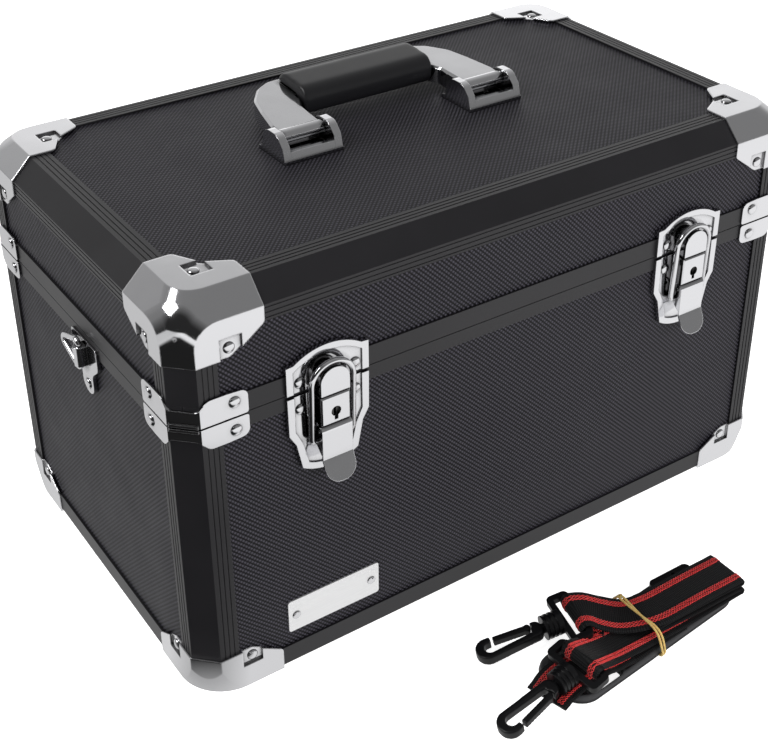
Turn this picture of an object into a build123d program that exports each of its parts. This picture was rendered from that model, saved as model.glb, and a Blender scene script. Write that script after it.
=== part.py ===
from build123d import *
import os
from math import cos, pi, radians, sin, sqrt, tan

os.makedirs("parts", exist_ok=True)

# Aluminium camera case with a deep base, a shallow lid, chrome corners and two draw latches.
# Millimetres. X runs along the front, Y from the front to the back, Z up.
# The origin is on the floor under the middle of the case.

# Overall size of the framed box
case_length = 380.0
case_depth = 224.0
seam_height = 163.5
lid_height = 62.5
case_height = seam_height + lid_height
seam_gap = 0.4
fit = 0.1
saw_cut = 0.3

# Extruded frame
bevel_leg = 10.6
frame_wall = 1.2
inner_wall = 1.0
panel_thickness = 4.0
post_flange = 10.4
top_flange = 10.4
front_flange = 8.2
lid_rim_height = 10.4
base_rim_height = 7.7
bottom_rail_height = 11.0
bottom_rail_width = 13.0
panel_stop = 12.0
groove_width = 0.7
groove_depth = 0.35
groove_pitch = 2.6
groove_count = 3
tongue_thickness = 2.2
tongue_height = 3.4
lid_groove_depth = 4.0

# Pressed steel corners and seam plates
sheet = 1.0
sheet_fit = 0.05
cap_arm = 45.0
cap_drop = 31.0
cap_arm_width = 24.0
cap_arm_drop = 18.6
cap_blend = 18.0
cap_patch = 13.0
cap_patch_gap = 0.3
foot_height = 23.0
foot_arm_height = 13.0
foot_radius = 24.0
foot_cone_rise = 16.0
foot_cone_spread = 3.6
seam_plate_arm = 34.5
lid_plate_height = 13.3
base_plate_height = 11.8
lid_strip_height = 8.3
base_strip_height = 6.8
lip_height = 1.6
lip_out = 0.8

# Lining and foam
lining_thickness = 3.0
lining_corner = 14.0
foam_thickness = 18.0
foam_inset = 12.2

# Draw latches with a key lock, two on the front
latch_inset = 76.0
latch_plate = 1.0
latch_rim = 0.8
latch_rim_width = 3.6
latch_width = 44.6
keeper_side_height = 13.0
keeper_arch_height = 20.5
keeper_gap = 0.5
base_latch_gap = 1.5
latch_shoulder = 22.0
latch_waist = 37.0
latch_waist_drop = 28.0
latch_toe_width = 31.0
latch_toe_drop = 42.5
latch_bottom = 47.0
boss_width = 15.6
boss_top = 12.2
boss_bottom = -1.8
boss_front = 8.0
boss_neck_inset = 0.5
housing_width = 15.8
housing_top = -3.0
housing_front = 8.0
pivot_drop = 22.0
pivot_out = 5.6
pivot_pin_radius = 1.0
knuckle_radius = 3.0
knuckle_gap = 0.35
ear_radius = 1.65
ear_thickness = 1.6
ear_inner = 5.4
lever_sheet = 1.0
lever_width = 17.0
lever_bend_drop = 37.3
tab_drop = 49.0
bail_wire = 1.5
bail_half_width = 11.3
bail_pivot_drop = 6.2
bail_pivot_in = 1.6
bail_top = 14.4
bail_top_out = 5.8
bail_cheek_radius = 2.7
plug_radius = 3.4
keyhole_radius = 2.6
keyhole_slot = 1.9
keyhole_drop = 4.6
keyhole_height = -12.0
plug_back = 2.0
plug_recess = 1.2
running = 0.06

# Carrying handle
foot_offset = 58.4
foot_length = 35.0
handle_foot_depth = 27.0
handle_foot_base = 2.0
ear_wall = 4.4
ear_height = 12.0
handle_axis_height = 8.0
barrel_radius = 3.8
handle_pin_radius = 2.0
sill_height = 4.6
sill_depth = 3.0
arm_low = 1.6
arm_high = 11.5
handle_reach = 53.5
handle_rest = 4.0
grip_half_length = 41.5
grip_middle = 37.0
grip_depth = 30.0
grip_height = 17.0
grip_axis_height = 9.4
core_front = 31.5
core_height = 4.0

# Rear hinges
hinge_inset = 85.0
hinge_length = 60.0
leaf_thickness = 1.0
hinge_knuckle_radius = 2.6
hinge_pin_radius = 1.25
base_leaf_height = 20.0
lid_leaf_height = 17.0
knuckle_count = 5
knuckle_clearance = 0.3

# Strap rings on the two ends
anchor_middle = -9.0
anchor_top = 3.0
anchor_height = 32.0
anchor_top_width = 30.0
anchor_toe_width = 13.0
anchor_sheet = 1.2
bridge_height = 11.0
bridge_drop = 17.0
ring_wire = 1.5
ring_half_height = 9.0
ring_reach = 25.0
ring_out = 2.7

# Nameplate, bare
plate_length = 54.0
plate_height = 19.5
plate_sheet = 0.8
plate_inset = 76.8
plate_z = 30.0

half_length = case_length / 2
half_depth = case_depth / 2
latch_offset = half_length - latch_inset
hinge_offset = half_length - hinge_inset
plate_x = -(half_length - plate_inset)
frame_bottom = sheet + sheet_fit
channel = panel_thickness + 2 * fit
inner_face = frame_wall + channel
frame_inside = inner_face + inner_wall
web_end = panel_stop + frame_wall
lid_low = seam_height + seam_gap / 2
base_high = seam_height - seam_gap / 2
front_plane = Plane(origin=(0, -half_depth, seam_height), x_dir=(1, 0, 0), z_dir=(0, -1, 0))


def save(name, pieces):
    """Writes one named sub-part, made of one solid or several."""
    solids = [solid for piece in pieces for solid in piece.solids()]
    export_step(Compound(solids), "parts/" + name + ".step")
    print(name, len(solids), round(sum(s.volume for s in solids)))


def outline(points):
    """A closed outline from (u, v, radius) corners."""
    corners = [(p[0], p[1]) for p in points]
    radii = [p[2] if len(p) > 2 else 0 for p in points]
    return FilletPolyline(*corners, radius=radii, close=True)


def plate(plane, points, thickness):
    """A flat piece on a plane, drawn as (u, v, radius) corners and raised along the plane's normal."""
    return extrude(plane * make_face(outline(points)), thickness, dir=plane.z_dir)


def block(low, high):
    """A box between two corners."""
    size = [high[i] - low[i] for i in range(3)]
    middle = [(high[i] + low[i]) / 2 for i in range(3)]
    return Pos(*middle) * Box(*size)


def rod(start, end, radius):
    """A round bar between two points."""
    way = Vector(*end) - Vector(*start)
    return Solid.make_cylinder(radius, way.length, Plane(origin=start, z_dir=way))


def both_ends(piece):
    return [piece, mirror(piece, about=Plane.YZ)]


def both_sides(piece):
    return [piece, mirror(piece, about=Plane.XZ)]


def four_corners(piece):
    return [twin for end in both_ends(piece) for twin in both_sides(end)]


def grooved(start, end, length, inward):
    """Points along one outer face of a flange, from start to end, with shallow grooves cut in it."""
    along = ((end[0] - start[0]) / length, (end[1] - start[1]) / length)
    margin = (length - (groove_count - 1) * groove_pitch - groove_width) / 2
    points = []
    for i in range(groove_count):
        for step, depth in ((0, 0), (0, groove_depth), (groove_width, groove_depth), (groove_width, 0)):
            run = margin + i * groove_pitch + step
            points.append((start[0] + along[0] * run + inward[0] * depth,
                           start[1] + along[1] * run + inward[1] * depth))
    return points


def corner_section(flange_a, flange_b):
    """Hollow bevelled extrusion with a panel channel each way. The box's edge is at (0, 0)."""
    end_a = bevel_leg + flange_a
    end_b = bevel_leg + flange_b
    outer = [(bevel_leg, 0)]
    outer += grooved((bevel_leg, 0), (end_a, 0), flange_a, (0, 1))
    outer += [(end_a, 0), (end_a, frame_wall), (web_end, frame_wall), (web_end, inner_face)]
    outer += [(end_a, inner_face), (end_a, frame_inside), (panel_stop, frame_inside)]
    outer += [(frame_inside, panel_stop), (frame_inside, end_b), (inner_face, end_b)]
    outer += [(inner_face, web_end), (frame_wall, web_end), (frame_wall, end_b), (0, end_b)]
    outer += grooved((0, end_b), (0, bevel_leg), flange_b, (1, 0))
    outer += [(0, bevel_leg)]
    skin = bevel_leg + frame_wall * (sqrt(2) - 1)
    link = frame_inside - frame_wall * sqrt(2)
    hole = [(skin, frame_wall), (panel_stop, frame_wall), (panel_stop, link)]
    hole += [(link, panel_stop), (frame_wall, panel_stop), (frame_wall, skin)]
    return make_face(Polyline(*outer, close=True)) - make_face(Polyline(*hole, close=True))


def plan_outline(inset):
    """The case's bevelled outline seen from above, moved in by inset."""
    x = half_length - inset
    y = half_depth - inset
    leg = bevel_leg - inset * (2 - sqrt(2))
    points = [(-x + leg, -y), (x - leg, -y), (x, -y + leg), (x, y - leg)]
    points += [(x - leg, y), (-x + leg, y), (-x, y - leg), (-x, -y + leg)]
    return make_face(Polyline(*points, close=True))


def ring(outside, inside, low, high):
    """A band that follows the case's outline between two insets and two heights."""
    return extrude(Pos(0, 0, low) * (plan_outline(outside) - plan_outline(inside)), high - low)


def split_in_four(band):
    """Cuts a band at the middle of its four bevelled corners, where its lengths meet."""
    reach = 30
    for x in (-1, 1):
        for y in (-1, 1):
            cut = Rot(0, 0, 45 * x * y) * Box(reach, saw_cut, reach)
            middle = bevel_leg / 2
            band -= Pos(x * (half_length - middle), y * (half_depth - middle), seam_height) * cut
    return band


def bevelled_corner(grow, size, blend):
    """The lid's front left corner with its three bevels blended, moved out by grow."""
    corner = Vector(-half_length, -half_depth, case_height)
    low = corner + Vector(-grow, -grow, grow - size)
    solid = block(tuple(low), tuple(low + Vector(size, size, size)))
    for normal in ((1, 1, 0), (1, 0, -1), (0, 1, -1)):
        inward = Vector(*normal).normalized()
        origin = corner + inward * (bevel_leg / sqrt(2) - grow)
        solid = split(solid, bisect_by=Plane(origin=tuple(origin), z_dir=tuple(inward)), keep=Keep.TOP)
    near = [e for e in solid.edges() if (e.center() - corner).length < bevel_leg * 1.3]
    return fillet(near, blend)


def rounded_foot(grow, size):
    """The base's front left bottom corner: bevelled above and rounded in plan at the floor."""
    corner = Vector(-half_length, -half_depth, frame_bottom)
    low = corner + Vector(-grow, -grow, -grow)
    solid = block(tuple(low), tuple(low + Vector(size, size, size)))
    inward = Vector(1, 1, 0).normalized()
    origin = corner + inward * (bevel_leg / sqrt(2) - grow)
    solid = split(solid, bisect_by=Plane(origin=tuple(origin), z_dir=tuple(inward)), keep=Keep.TOP)
    axis = corner + Vector(foot_radius, foot_radius, -grow)
    radius = foot_radius + grow
    spread = foot_cone_spread / foot_cone_rise * size
    cone = Pos(axis.X, axis.Y, axis.Z + size / 2) * Cone(radius, radius + spread, size)
    waste = block((low.X - 1, low.Y - 1, low.Z - 1), (axis.X, axis.Y, low.Z + foot_cone_rise * 2)) - cone
    return solid - waste


def lobe_prisms(drop, arm_drop, corner_z, side):
    """Trims a pressed corner to its outlines from the front, the side and above. Side -1 hangs down."""
    over = 3.0
    face = [(-over, -over), (cap_arm, -over), (cap_arm, arm_drop, 3), (cap_arm - 17, drop, 4), (-over, drop)]
    inner = (cap_arm + cap_arm_width) / 2 - 3.0
    plan = [(-over, -over), (cap_arm, -over), (cap_arm, cap_arm_width, 3.5), (inner, inner, 12)]
    plan += [(cap_arm_width, cap_arm, 3.5), (-over, cap_arm)]
    deep = cap_arm + 2 * over
    front = Plane(origin=(-half_length, -half_depth - over, corner_z), x_dir=(1, 0, 0), z_dir=(0, -side, 0))
    left = Plane(origin=(-half_length - over, -half_depth, corner_z), x_dir=(0, 1, 0), z_dir=(side, 0, 0))
    above = Plane(origin=(-half_length, -half_depth, corner_z - deep), x_dir=(1, 0, 0), z_dir=(0, 0, 1))
    prism = extrude(front * make_face(outline(face)), deep, dir=(0, 1, 0))
    prism &= extrude(left * make_face(outline(face)), deep, dir=(1, 0, 0))
    return prism & extrude(above * make_face(outline(plan)), 2 * deep, dir=(0, 0, 1))


def with_patches(cap, edge, way, rows, lobes):
    """Presses a cap inwards where it passes the frame and lies on a panel. Rows are the flange ends (u, v)."""
    out = sheet + sheet_fit
    rest = frame_wall + fit - sheet_fit
    x, y = -half_length, -half_depth
    for name, (u, v) in rows.items():
        for inset, depth, piece in ((0, rest, "fill"), (sheet, rest - sheet, "pocket")):
            outer = out if piece == "fill" else 2 * out
            u_low, u_high = u + inset, u + cap_patch - inset
            v_low, v_high = v + inset, v + cap_patch - inset
            z_low, z_high = sorted((edge + way * v_low, edge + way * v_high))
            if name == "front":
                region = block((x + u_low, y - outer, z_low), (x + u_high, y + depth, z_high))
            elif name == "side":
                region = block((x - outer, y + u_low, z_low), (x + depth, y + u_high, z_high))
            else:
                region = block((x + u_low, y + v_low, edge - depth), (x + u_high, y + v_high, edge + outer))
            cap = cap + (region & lobes) if piece == "fill" else cap - region
    return cap


# Everything outside the blended corners, which the frame's ends are trimmed away from
lid_corner_waste = block((-half_length - 2, -half_depth - 2, case_height - 30),
                         (-half_length + 30, -half_depth + 30, case_height + 2))
lid_corner_waste -= bevelled_corner(0, 70, cap_blend)
foot_corner_waste = block((-half_length - 2, -half_depth - 2, frame_bottom - 2),
                          (-half_length + 30, -half_depth + 30, frame_bottom + 30))
foot_corner_waste -= rounded_foot(0, 70)


def trim_corners(piece, waste):
    """Takes the corner waste off all four corners of a piece."""
    for corner in four_corners(waste):
        piece -= corner
    return piece


# Posts, rails and rims

post_section = corner_section(post_flange, post_flange)
rail_section = corner_section(front_flange, top_flange)
post_low = frame_bottom + bottom_rail_height + fit
post_high = base_high - base_rim_height - fit
lid_post_low = lid_low + lid_rim_height + fit
lid_post_high = case_height - bevel_leg - front_flange - fit

post_at = Plane(origin=(-half_length, -half_depth, post_low), x_dir=(1, 0, 0), z_dir=(0, 0, 1))
base_post = extrude(post_at * post_section, post_high - post_low, dir=(0, 0, 1)) - foot_corner_waste
save("base_corner_posts", four_corners(base_post))

lid_post_at = Plane(origin=(-half_length, -half_depth, lid_post_low), x_dir=(1, 0, 0), z_dir=(0, 0, 1))
lid_post = extrude(lid_post_at * post_section, lid_post_high - lid_post_low, dir=(0, 0, 1)) - lid_corner_waste
save("lid_corner_posts", four_corners(lid_post))


def mitred(piece, origin, long_way):
    """Cuts a front rail's two ends to 45 degrees, half a saw cut short of the mitre."""
    for side in (-1, 1):
        inward = Vector(-side, long_way, 0).normalized()
        corner = Vector(side * half_length, origin, 0) + inward * (saw_cut / 2)
        piece = split(piece, bisect_by=Plane(origin=tuple(corner), z_dir=tuple(inward)), keep=Keep.TOP)
    return piece


def mitred_side(piece):
    """Cuts a left rail's two ends to 45 degrees, half a saw cut short of the mitre."""
    for side in (-1, 1):
        inward = Vector(-1, -side, 0).normalized()
        corner = Vector(-half_length, side * half_depth, 0) + inward * (saw_cut / 2)
        piece = split(piece, bisect_by=Plane(origin=tuple(corner), z_dir=tuple(inward)), keep=Keep.TOP)
    return piece


rail_front_at = Plane(origin=(-half_length, -half_depth, case_height), x_dir=(0, 0, -1), z_dir=(1, 0, 0))
rail_side_at = Plane(origin=(-half_length, half_depth, case_height), x_dir=(0, 0, -1), z_dir=(0, -1, 0))
top_front = mitred(extrude(rail_front_at * rail_section, case_length, dir=(1, 0, 0)), -half_depth, -1)
top_side = mitred_side(extrude(rail_side_at * rail_section, case_depth, dir=(0, -1, 0)))
top_rails = both_sides(trim_corners(top_front, lid_corner_waste))
top_rails += both_ends(trim_corners(top_side, lid_corner_waste))
save("lid_top_rails", top_rails)

base_step = bottom_rail_width - 5.4
rail_points = [(0, 0), (bottom_rail_width, 0), (bottom_rail_width, frame_wall), (base_step, frame_wall)]
rail_points += [(base_step, inner_face), (bottom_rail_width, inner_face), (bottom_rail_width, frame_inside)]
rail_points += [(frame_inside, frame_inside), (frame_inside, bottom_rail_height)]
rail_points += [(inner_face, bottom_rail_height), (inner_face, frame_inside), (frame_wall, frame_inside)]
rail_points += [(frame_wall, bottom_rail_height), (0, bottom_rail_height)]
rail_hole = [(frame_wall, frame_wall), (frame_inside, frame_wall), (frame_inside, inner_face - frame_wall / 2)]
rail_hole += [(frame_wall, inner_face - frame_wall / 2)]
bottom_section = make_face(Polyline(*rail_points, close=True)) - make_face(Polyline(*rail_hole, close=True))
foot_front_at = Plane(origin=(-half_length, -half_depth, frame_bottom), x_dir=(0, 1, 0), z_dir=(1, 0, 0))
foot_side_at = Plane(origin=(-half_length, half_depth, frame_bottom), x_dir=(1, 0, 0), z_dir=(0, -1, 0))
bottom_front = mitred(extrude(foot_front_at * bottom_section, case_length, dir=(1, 0, 0)), -half_depth, -1)
bottom_side = mitred_side(extrude(foot_side_at * bottom_section, case_depth, dir=(0, -1, 0)))
bottom_rails = both_sides(trim_corners(bottom_front, foot_corner_waste))
bottom_rails += both_ends(trim_corners(bottom_side, foot_corner_waste))
save("base_bottom_rails", bottom_rails)

tongue_out = (inner_face + frame_wall) / 2 - tongue_thickness / 2
base_rim = ring(0, frame_wall, base_high - base_rim_height, base_high)
base_rim += ring(inner_face, frame_inside, base_high - base_rim_height, base_high)
base_rim += ring(frame_wall, inner_face, base_high - frame_wall, base_high)
base_rim += ring(tongue_out, tongue_out + tongue_thickness, base_high, base_high + tongue_height)
save("base_rim", [split_in_four(base_rim)])

lid_rim = ring(0, frame_wall, lid_low, lid_low + lid_rim_height)
lid_rim += ring(inner_face, frame_inside, lid_low, lid_low + lid_rim_height)
lid_rim += ring(frame_wall, inner_face, lid_low + lid_groove_depth, lid_low + lid_groove_depth + frame_wall)
save("lid_rim", [split_in_four(lid_rim)])


# Panels, caught in the channels of the frame

def wall_panels(prefix, low, high):
    """Front, back, left and right panels between two heights."""
    near = frame_wall + fit
    far = near + panel_thickness
    end = web_end + fit
    front = block((-half_length + end, -half_depth + near, low), (half_length - end, -half_depth + far, high))
    left = block((-half_length + near, -half_depth + end, low), (-half_length + far, half_depth - end, high))
    save(prefix + "_front_panel", [front])
    save(prefix + "_back_panel", [mirror(front, about=Plane.XZ)])
    save(prefix + "_left_panel", [left])
    save(prefix + "_right_panel", [mirror(left, about=Plane.YZ)])


wall_panels("base", frame_bottom + frame_inside + fit, base_high - frame_wall - fit)
wall_panels("lid", lid_low + lid_groove_depth + frame_wall + fit, case_height - web_end - fit)

top_end = web_end + fit
lid_face = case_height - frame_wall - fit
save("lid_top_panel", [block((-half_length + top_end, -half_depth + top_end, lid_face - panel_thickness),
                             (half_length - top_end, half_depth - top_end, lid_face))])
floor_end = base_step + fit
floor_low = frame_bottom + frame_wall + fit
save("base_bottom_panel", [block((-half_length + floor_end, -half_depth + floor_end, floor_low),
                                 (half_length - floor_end, half_depth - floor_end, floor_low + panel_thickness))])


# Lining

def lining_walls(low, high):
    """Four thin walls just inside the frame."""
    near = frame_inside + fit
    far = near + lining_thickness
    front = block((-half_length + lining_corner, -half_depth + near, low),
                  (half_length - lining_corner, -half_depth + far, high))
    left = block((-half_length + near, -half_depth + lining_corner, low),
                 (-half_length + far, half_depth - lining_corner, high))
    return both_sides(front) + both_ends(left)


floor_pad_inset = bottom_rail_width + 0.3
floor_pad_low = floor_low + panel_thickness + fit
floor_pad_high = frame_bottom + frame_inside + lining_thickness
floor_pad = block((-half_length + floor_pad_inset, -half_depth + floor_pad_inset, floor_pad_low),
                  (half_length - floor_pad_inset, half_depth - floor_pad_inset, floor_pad_high))
save("base_lining", lining_walls(frame_bottom + frame_inside + fit, base_high - frame_wall) + [floor_pad])
foam_high = case_height - frame_inside - fit
foam = block((-half_length + foam_inset, -half_depth + foam_inset, foam_high - foam_thickness),
             (half_length - foam_inset, half_depth - foam_inset, foam_high))
save("lid_foam", [foam] + lining_walls(lid_low + 0.4, case_height - web_end))


# Pressed corners and seam plates

lid_cap = bevelled_corner(sheet + sheet_fit, 70, cap_blend + sheet) - bevelled_corner(sheet_fit, 72, cap_blend)
lid_lobes = lobe_prisms(cap_drop, cap_arm_drop, case_height, -1)
lid_cap &= lid_lobes
post_end = bevel_leg + post_flange + cap_patch_gap
rail_end = bevel_leg + front_flange + cap_patch_gap
top_patch_end = bevel_leg + top_flange + cap_patch_gap
lid_cap = with_patches(lid_cap, case_height, -1, {"front": (post_end, rail_end), "side": (post_end, rail_end),
                                                  "top": (top_patch_end, top_patch_end)}, lid_lobes)
save("top_corner_caps", four_corners(lid_cap))

foot_cap = rounded_foot(sheet + sheet_fit, 70) - rounded_foot(sheet_fit, 72)
foot_lobes = lobe_prisms(foot_height, foot_arm_height, 0, 1)
foot_cap &= foot_lobes
foot_end = frame_bottom + bottom_rail_height + cap_patch_gap
foot_cap = with_patches(foot_cap, 0, 1, {"front": (post_end, foot_end), "side": (post_end, foot_end)}, foot_lobes)
save("bottom_corner_caps", four_corners(foot_cap))


def seam_plate(edge, height, strip, way):
    """A bent plate round the front left post, rising from the seam or hanging from it."""
    low, high = sorted((edge, edge + way * height))
    band = ring(-sheet_fit - sheet, -sheet_fit, low, high)
    over = 3.0
    flap = [(-over, 0), (seam_plate_arm, 0, 1.5), (seam_plate_arm, height - 0.7, 4), (24.0, height)]
    flap += [(bevel_leg - 1.5 + height - strip, height, 5), (bevel_leg - 1.5, strip, 2), (-over, strip)]
    front = Plane(origin=(-half_length, -half_depth - over, edge), x_dir=(1, 0, 0), z_dir=(0, -way, 0))
    left = Plane(origin=(-half_length - over, -half_depth, edge), x_dir=(0, 1, 0), z_dir=(way, 0, 0))
    reach = over + bevel_leg / 2
    wanted = extrude(front * make_face(outline(flap)), reach, dir=(0, 1, 0))
    wanted += extrude(left * make_face(outline(flap)), reach, dir=(1, 0, 0))
    lip_low, lip_high = sorted((edge, edge + way * lip_height))
    lip = ring(-sheet - lip_out, -sheet_fit, lip_low, lip_high)
    turn = Pos(-half_length + bevel_leg / 2, -half_depth + bevel_leg / 2, edge) * Rot(0, 0, 45)
    lip &= turn * Box(8, bevel_leg * sqrt(2) - 1, 4 * lip_height)
    return (band & wanted) + lip


save("lid_seam_plates", four_corners(seam_plate(seam_height + 0.3, lid_plate_height, lid_strip_height, 1)))
save("base_seam_plates", four_corners(seam_plate(seam_height - 0.6, base_plate_height, base_strip_height, -1)))


# Draw latches, drawn for a latch on the middle of the front: x across, y up from the seam, z outwards

latch_right = front_plane.location * Pos(latch_offset, 0, 0)
latch_left = front_plane.location * Pos(-latch_offset, 0, 0)
pivot_y = -pivot_drop
bail_y = pivot_y - bail_pivot_drop
bail_z = pivot_out - bail_pivot_in


def latch_face(points, arch=None):
    """A latch plate's outline, closed by an arch when one is given."""
    if arch is None:
        return make_face(outline(points))
    edge = Polyline(*points) + ThreePointArc(points[-1], arch, points[0])
    return make_face(edge)


def latch_sheet(face, inner_face_outline, behind):
    """A pressed plate: a flat floor, a raised rim, and a step back over the panel."""
    piece = extrude(face, latch_plate, dir=(0, 0, 1))
    piece += extrude(Pos(0, 0, latch_plate) * (face - inner_face_outline), latch_rim, dir=(0, 0, 1))
    return piece + behind


keeper_half = latch_width / 2
keeper_top = keeper_gap + keeper_side_height + 2.2
keeper_points = [(-keeper_half + 4, keeper_top + 0.3), (-keeper_half, keeper_top), (-keeper_half, keeper_gap),
                 (keeper_half, keeper_gap), (keeper_half, keeper_top), (keeper_half - 4, keeper_top + 0.3)]
keeper_face = latch_face(keeper_points, (0, keeper_arch_height + 1.2))
pocket_half = keeper_half - latch_rim_width
pocket_points = [(-pocket_half, keeper_top - 3.4), (-pocket_half, keeper_gap - 1), (pocket_half, keeper_gap - 1),
                 (pocket_half, keeper_top - 3.4)]
keeper_pocket = latch_face(pocket_points, (0, keeper_arch_height - 2.2))
behind_low = lid_rim_height + fit + 0.2
panel_step = frame_wall
keeper_behind = extrude(keeper_face, -panel_step, dir=(0, 0, 1)) & block(
    (-keeper_half, behind_low, -panel_step), (keeper_half, keeper_arch_height + 2, 0))
keeper_base = latch_sheet(keeper_face, keeper_pocket, keeper_behind)
boss_half = boss_width / 2


def boss_outline(inset):
    """The keeper's boss: straight sides under a half-round top."""
    half = boss_half - inset
    middle = boss_top - boss_half
    edge = Polyline((-half, middle), (-half, boss_bottom), (half, boss_bottom), (half, middle))
    return make_face(edge + ThreePointArc((half, middle), (0, middle + half), (-half, middle)))


boss_lip = 1.6
boss = extrude(boss_outline(boss_neck_inset), boss_front, dir=(0, 0, 1))
boss += extrude(Pos(0, 0, boss_front - boss_lip) * boss_outline(0), boss_lip, dir=(0, 0, 1))
boss -= block((-boss_half, boss_bottom - 1, -1), (boss_half, keeper_gap, latch_plate + 0.35))
keeper = keeper_base + boss
save("keeper_left", [latch_left * keeper])
save("keeper_right", [latch_right * keeper])

shoulder_half = latch_shoulder
waist_half = latch_waist / 2
toe_half = latch_toe_width / 2
base_latch_points = [(-toe_half, -latch_toe_drop), (-waist_half, -latch_waist_drop), (-shoulder_half, -22.0),
                     (-shoulder_half - 0.3, -base_latch_gap), (shoulder_half + 0.3, -base_latch_gap),
                     (shoulder_half, -22.0), (waist_half, -latch_waist_drop), (toe_half, -latch_toe_drop)]
base_latch_face = latch_face(base_latch_points, (0, -latch_bottom))
rim = latch_rim_width
base_pocket_points = [(-toe_half + rim, -latch_toe_drop + 2), (-waist_half + rim, -latch_waist_drop),
                      (-shoulder_half + rim, -21.0), (-shoulder_half + rim, -base_latch_gap + 1),
                      (shoulder_half - rim, -base_latch_gap + 1), (shoulder_half - rim, -21.0),
                      (waist_half - rim, -latch_waist_drop), (toe_half - rim, -latch_toe_drop + 2)]
base_latch_pocket = latch_face(base_pocket_points, (0, -latch_bottom + rim))
base_behind = extrude(base_latch_face, -panel_step, dir=(0, 0, 1)) & block(
    (-keeper_half, -latch_bottom - 2, -panel_step), (keeper_half, -base_rim_height - fit - 0.4, 0))
latch_base = latch_sheet(base_latch_face, base_latch_pocket, base_behind)


def bar_in_latch(start, end, width, low, high):
    """A straight bar seen from the side, from start to end in (y, z), between two x values."""
    way = Vector(0, end[0] - start[0], end[1] - start[1])
    middle = (Vector(0, start[0], start[1]) + Vector(0, end[0], end[1])) * 0.5
    angle = Vector(0, 1, 0).get_angle(way) * (1 if way.Z > 0 else -1)
    return Pos((low + high) / 2, middle.Y, middle.Z) * Rot(angle, 0, 0) * Box(high - low, way.length, width)


def disc_in_latch(y, z, radius, low, high):
    """A disc standing across the latch between two x values."""
    return rod((low, y, z), (high, y, z), radius)


ear = disc_in_latch(pivot_y, pivot_out, ear_radius, ear_inner, ear_inner + ear_thickness)
ear += bar_in_latch((pivot_y, pivot_out), (pivot_y - 6.2, 0.8), 2.4, ear_inner, ear_inner + ear_thickness)
ear -= disc_in_latch(pivot_y, pivot_out, pivot_pin_radius + 0.01, ear_inner - 1, ear_inner + 4)
ear -= block((0, -60, -5), (20, 0, latch_plate))
latch_base += ear + mirror(ear, about=Plane.YZ)
save("latch_plate_left", [latch_left * latch_base])
save("latch_plate_right", [latch_right * latch_base])

housing_half = housing_width / 2
housing_bottom = pivot_y + knuckle_radius + knuckle_gap
housing = block((-housing_half, housing_bottom, latch_plate), (housing_half, housing_top, housing_front))
face_edges = housing.faces().sort_by(Axis.Z)[-1].edges()
housing = chamfer(face_edges, 0.7)
plug_front = housing_front - plug_recess - 0.1
housing -= rod((0, keyhole_height - 1.0, plug_back), (0, keyhole_height - 1.0, plug_front), plug_radius + running)
housing -= rod((0, keyhole_height, plug_front - 0.1), (0, keyhole_height, 12), keyhole_radius)
housing -= block((-keyhole_slot / 2, keyhole_height - keyhole_drop, plug_front - 0.1),
                 (keyhole_slot / 2, keyhole_height, 12))
save("lock_housing_left", [latch_left * housing])
save("lock_housing_right", [latch_right * housing])

plug = rod((0, keyhole_height - 1.0, plug_back + 0.1), (0, keyhole_height - 1.0, plug_front - 0.1), plug_radius)
plug -= block((-0.6, keyhole_height - 3.4, plug_front - 2.6), (0.6, keyhole_height + 1.4, plug_front))
save("lock_plug_left", [latch_left * plug])
save("lock_plug_right", [latch_right * plug])

lever_half = lever_width / 2 - 0.15
cheek_in = lever_half - lever_sheet
lever_front = pivot_out + knuckle_radius
lever_back = lever_front - lever_sheet
lever = block((-lever_half, -lever_bend_drop, lever_back), (lever_half, pivot_y, lever_front))
curl = disc_in_latch(pivot_y, pivot_out, knuckle_radius, -lever_half, lever_half)
curl -= disc_in_latch(pivot_y, pivot_out, knuckle_radius - lever_sheet, -lever_half - 1, lever_half + 1)
curl &= block((-lever_half, pivot_y, pivot_out), (lever_half, pivot_y + 5, pivot_out + 5))
lever += curl
cheek = disc_in_latch(pivot_y, pivot_out, knuckle_radius, cheek_in, lever_half)
cheek += disc_in_latch(bail_y, bail_z, bail_cheek_radius, cheek_in, lever_half)
cheek_plane = Plane(origin=(cheek_in, 0, 0), x_dir=(0, 1, 0), z_dir=(1, 0, 0))
cheek_points = [(pivot_y, pivot_out - knuckle_radius), (pivot_y, lever_front), (-lever_bend_drop + 2.5, lever_front),
                (-lever_bend_drop + 2.5, lever_back - 0.5), (bail_y - 2.0, bail_z - 1.8),
                (bail_y + 0.7, bail_z - bail_cheek_radius + 0.05)]
cheek += extrude(cheek_plane * make_face(Polyline(*cheek_points, close=True)), lever_sheet, dir=(1, 0, 0))
cheek -= disc_in_latch(pivot_y, pivot_out, pivot_pin_radius + running, cheek_in - 1, lever_half + 1)
cheek -= disc_in_latch(bail_y, bail_z, bail_wire + running, cheek_in - 1, lever_half + 1)
lever += cheek + mirror(cheek, about=Plane.YZ)
tab_angle = -24.0
tab_length = (tab_drop - lever_bend_drop) / cos(radians(tab_angle))
tab_points = [(-lever_half, 0.5), (-lever_half, -tab_length, 7.4), (lever_half, -tab_length, 7.4), (lever_half, 0.5)]
tab = extrude(make_face(outline(tab_points)), lever_sheet, dir=(0, 0, 1))
lever += Pos(0, -lever_bend_drop, lever_back) * Rot(tab_angle, 0, 0) * tab
save("latch_lever_left", [latch_left * lever])
save("latch_lever_right", [latch_right * lever])

pin = disc_in_latch(pivot_y, pivot_out, pivot_pin_radius, -lever_half - 0.5, lever_half + 0.5)
save("latch_pins", [latch_left * pin, latch_right * pin])

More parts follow.
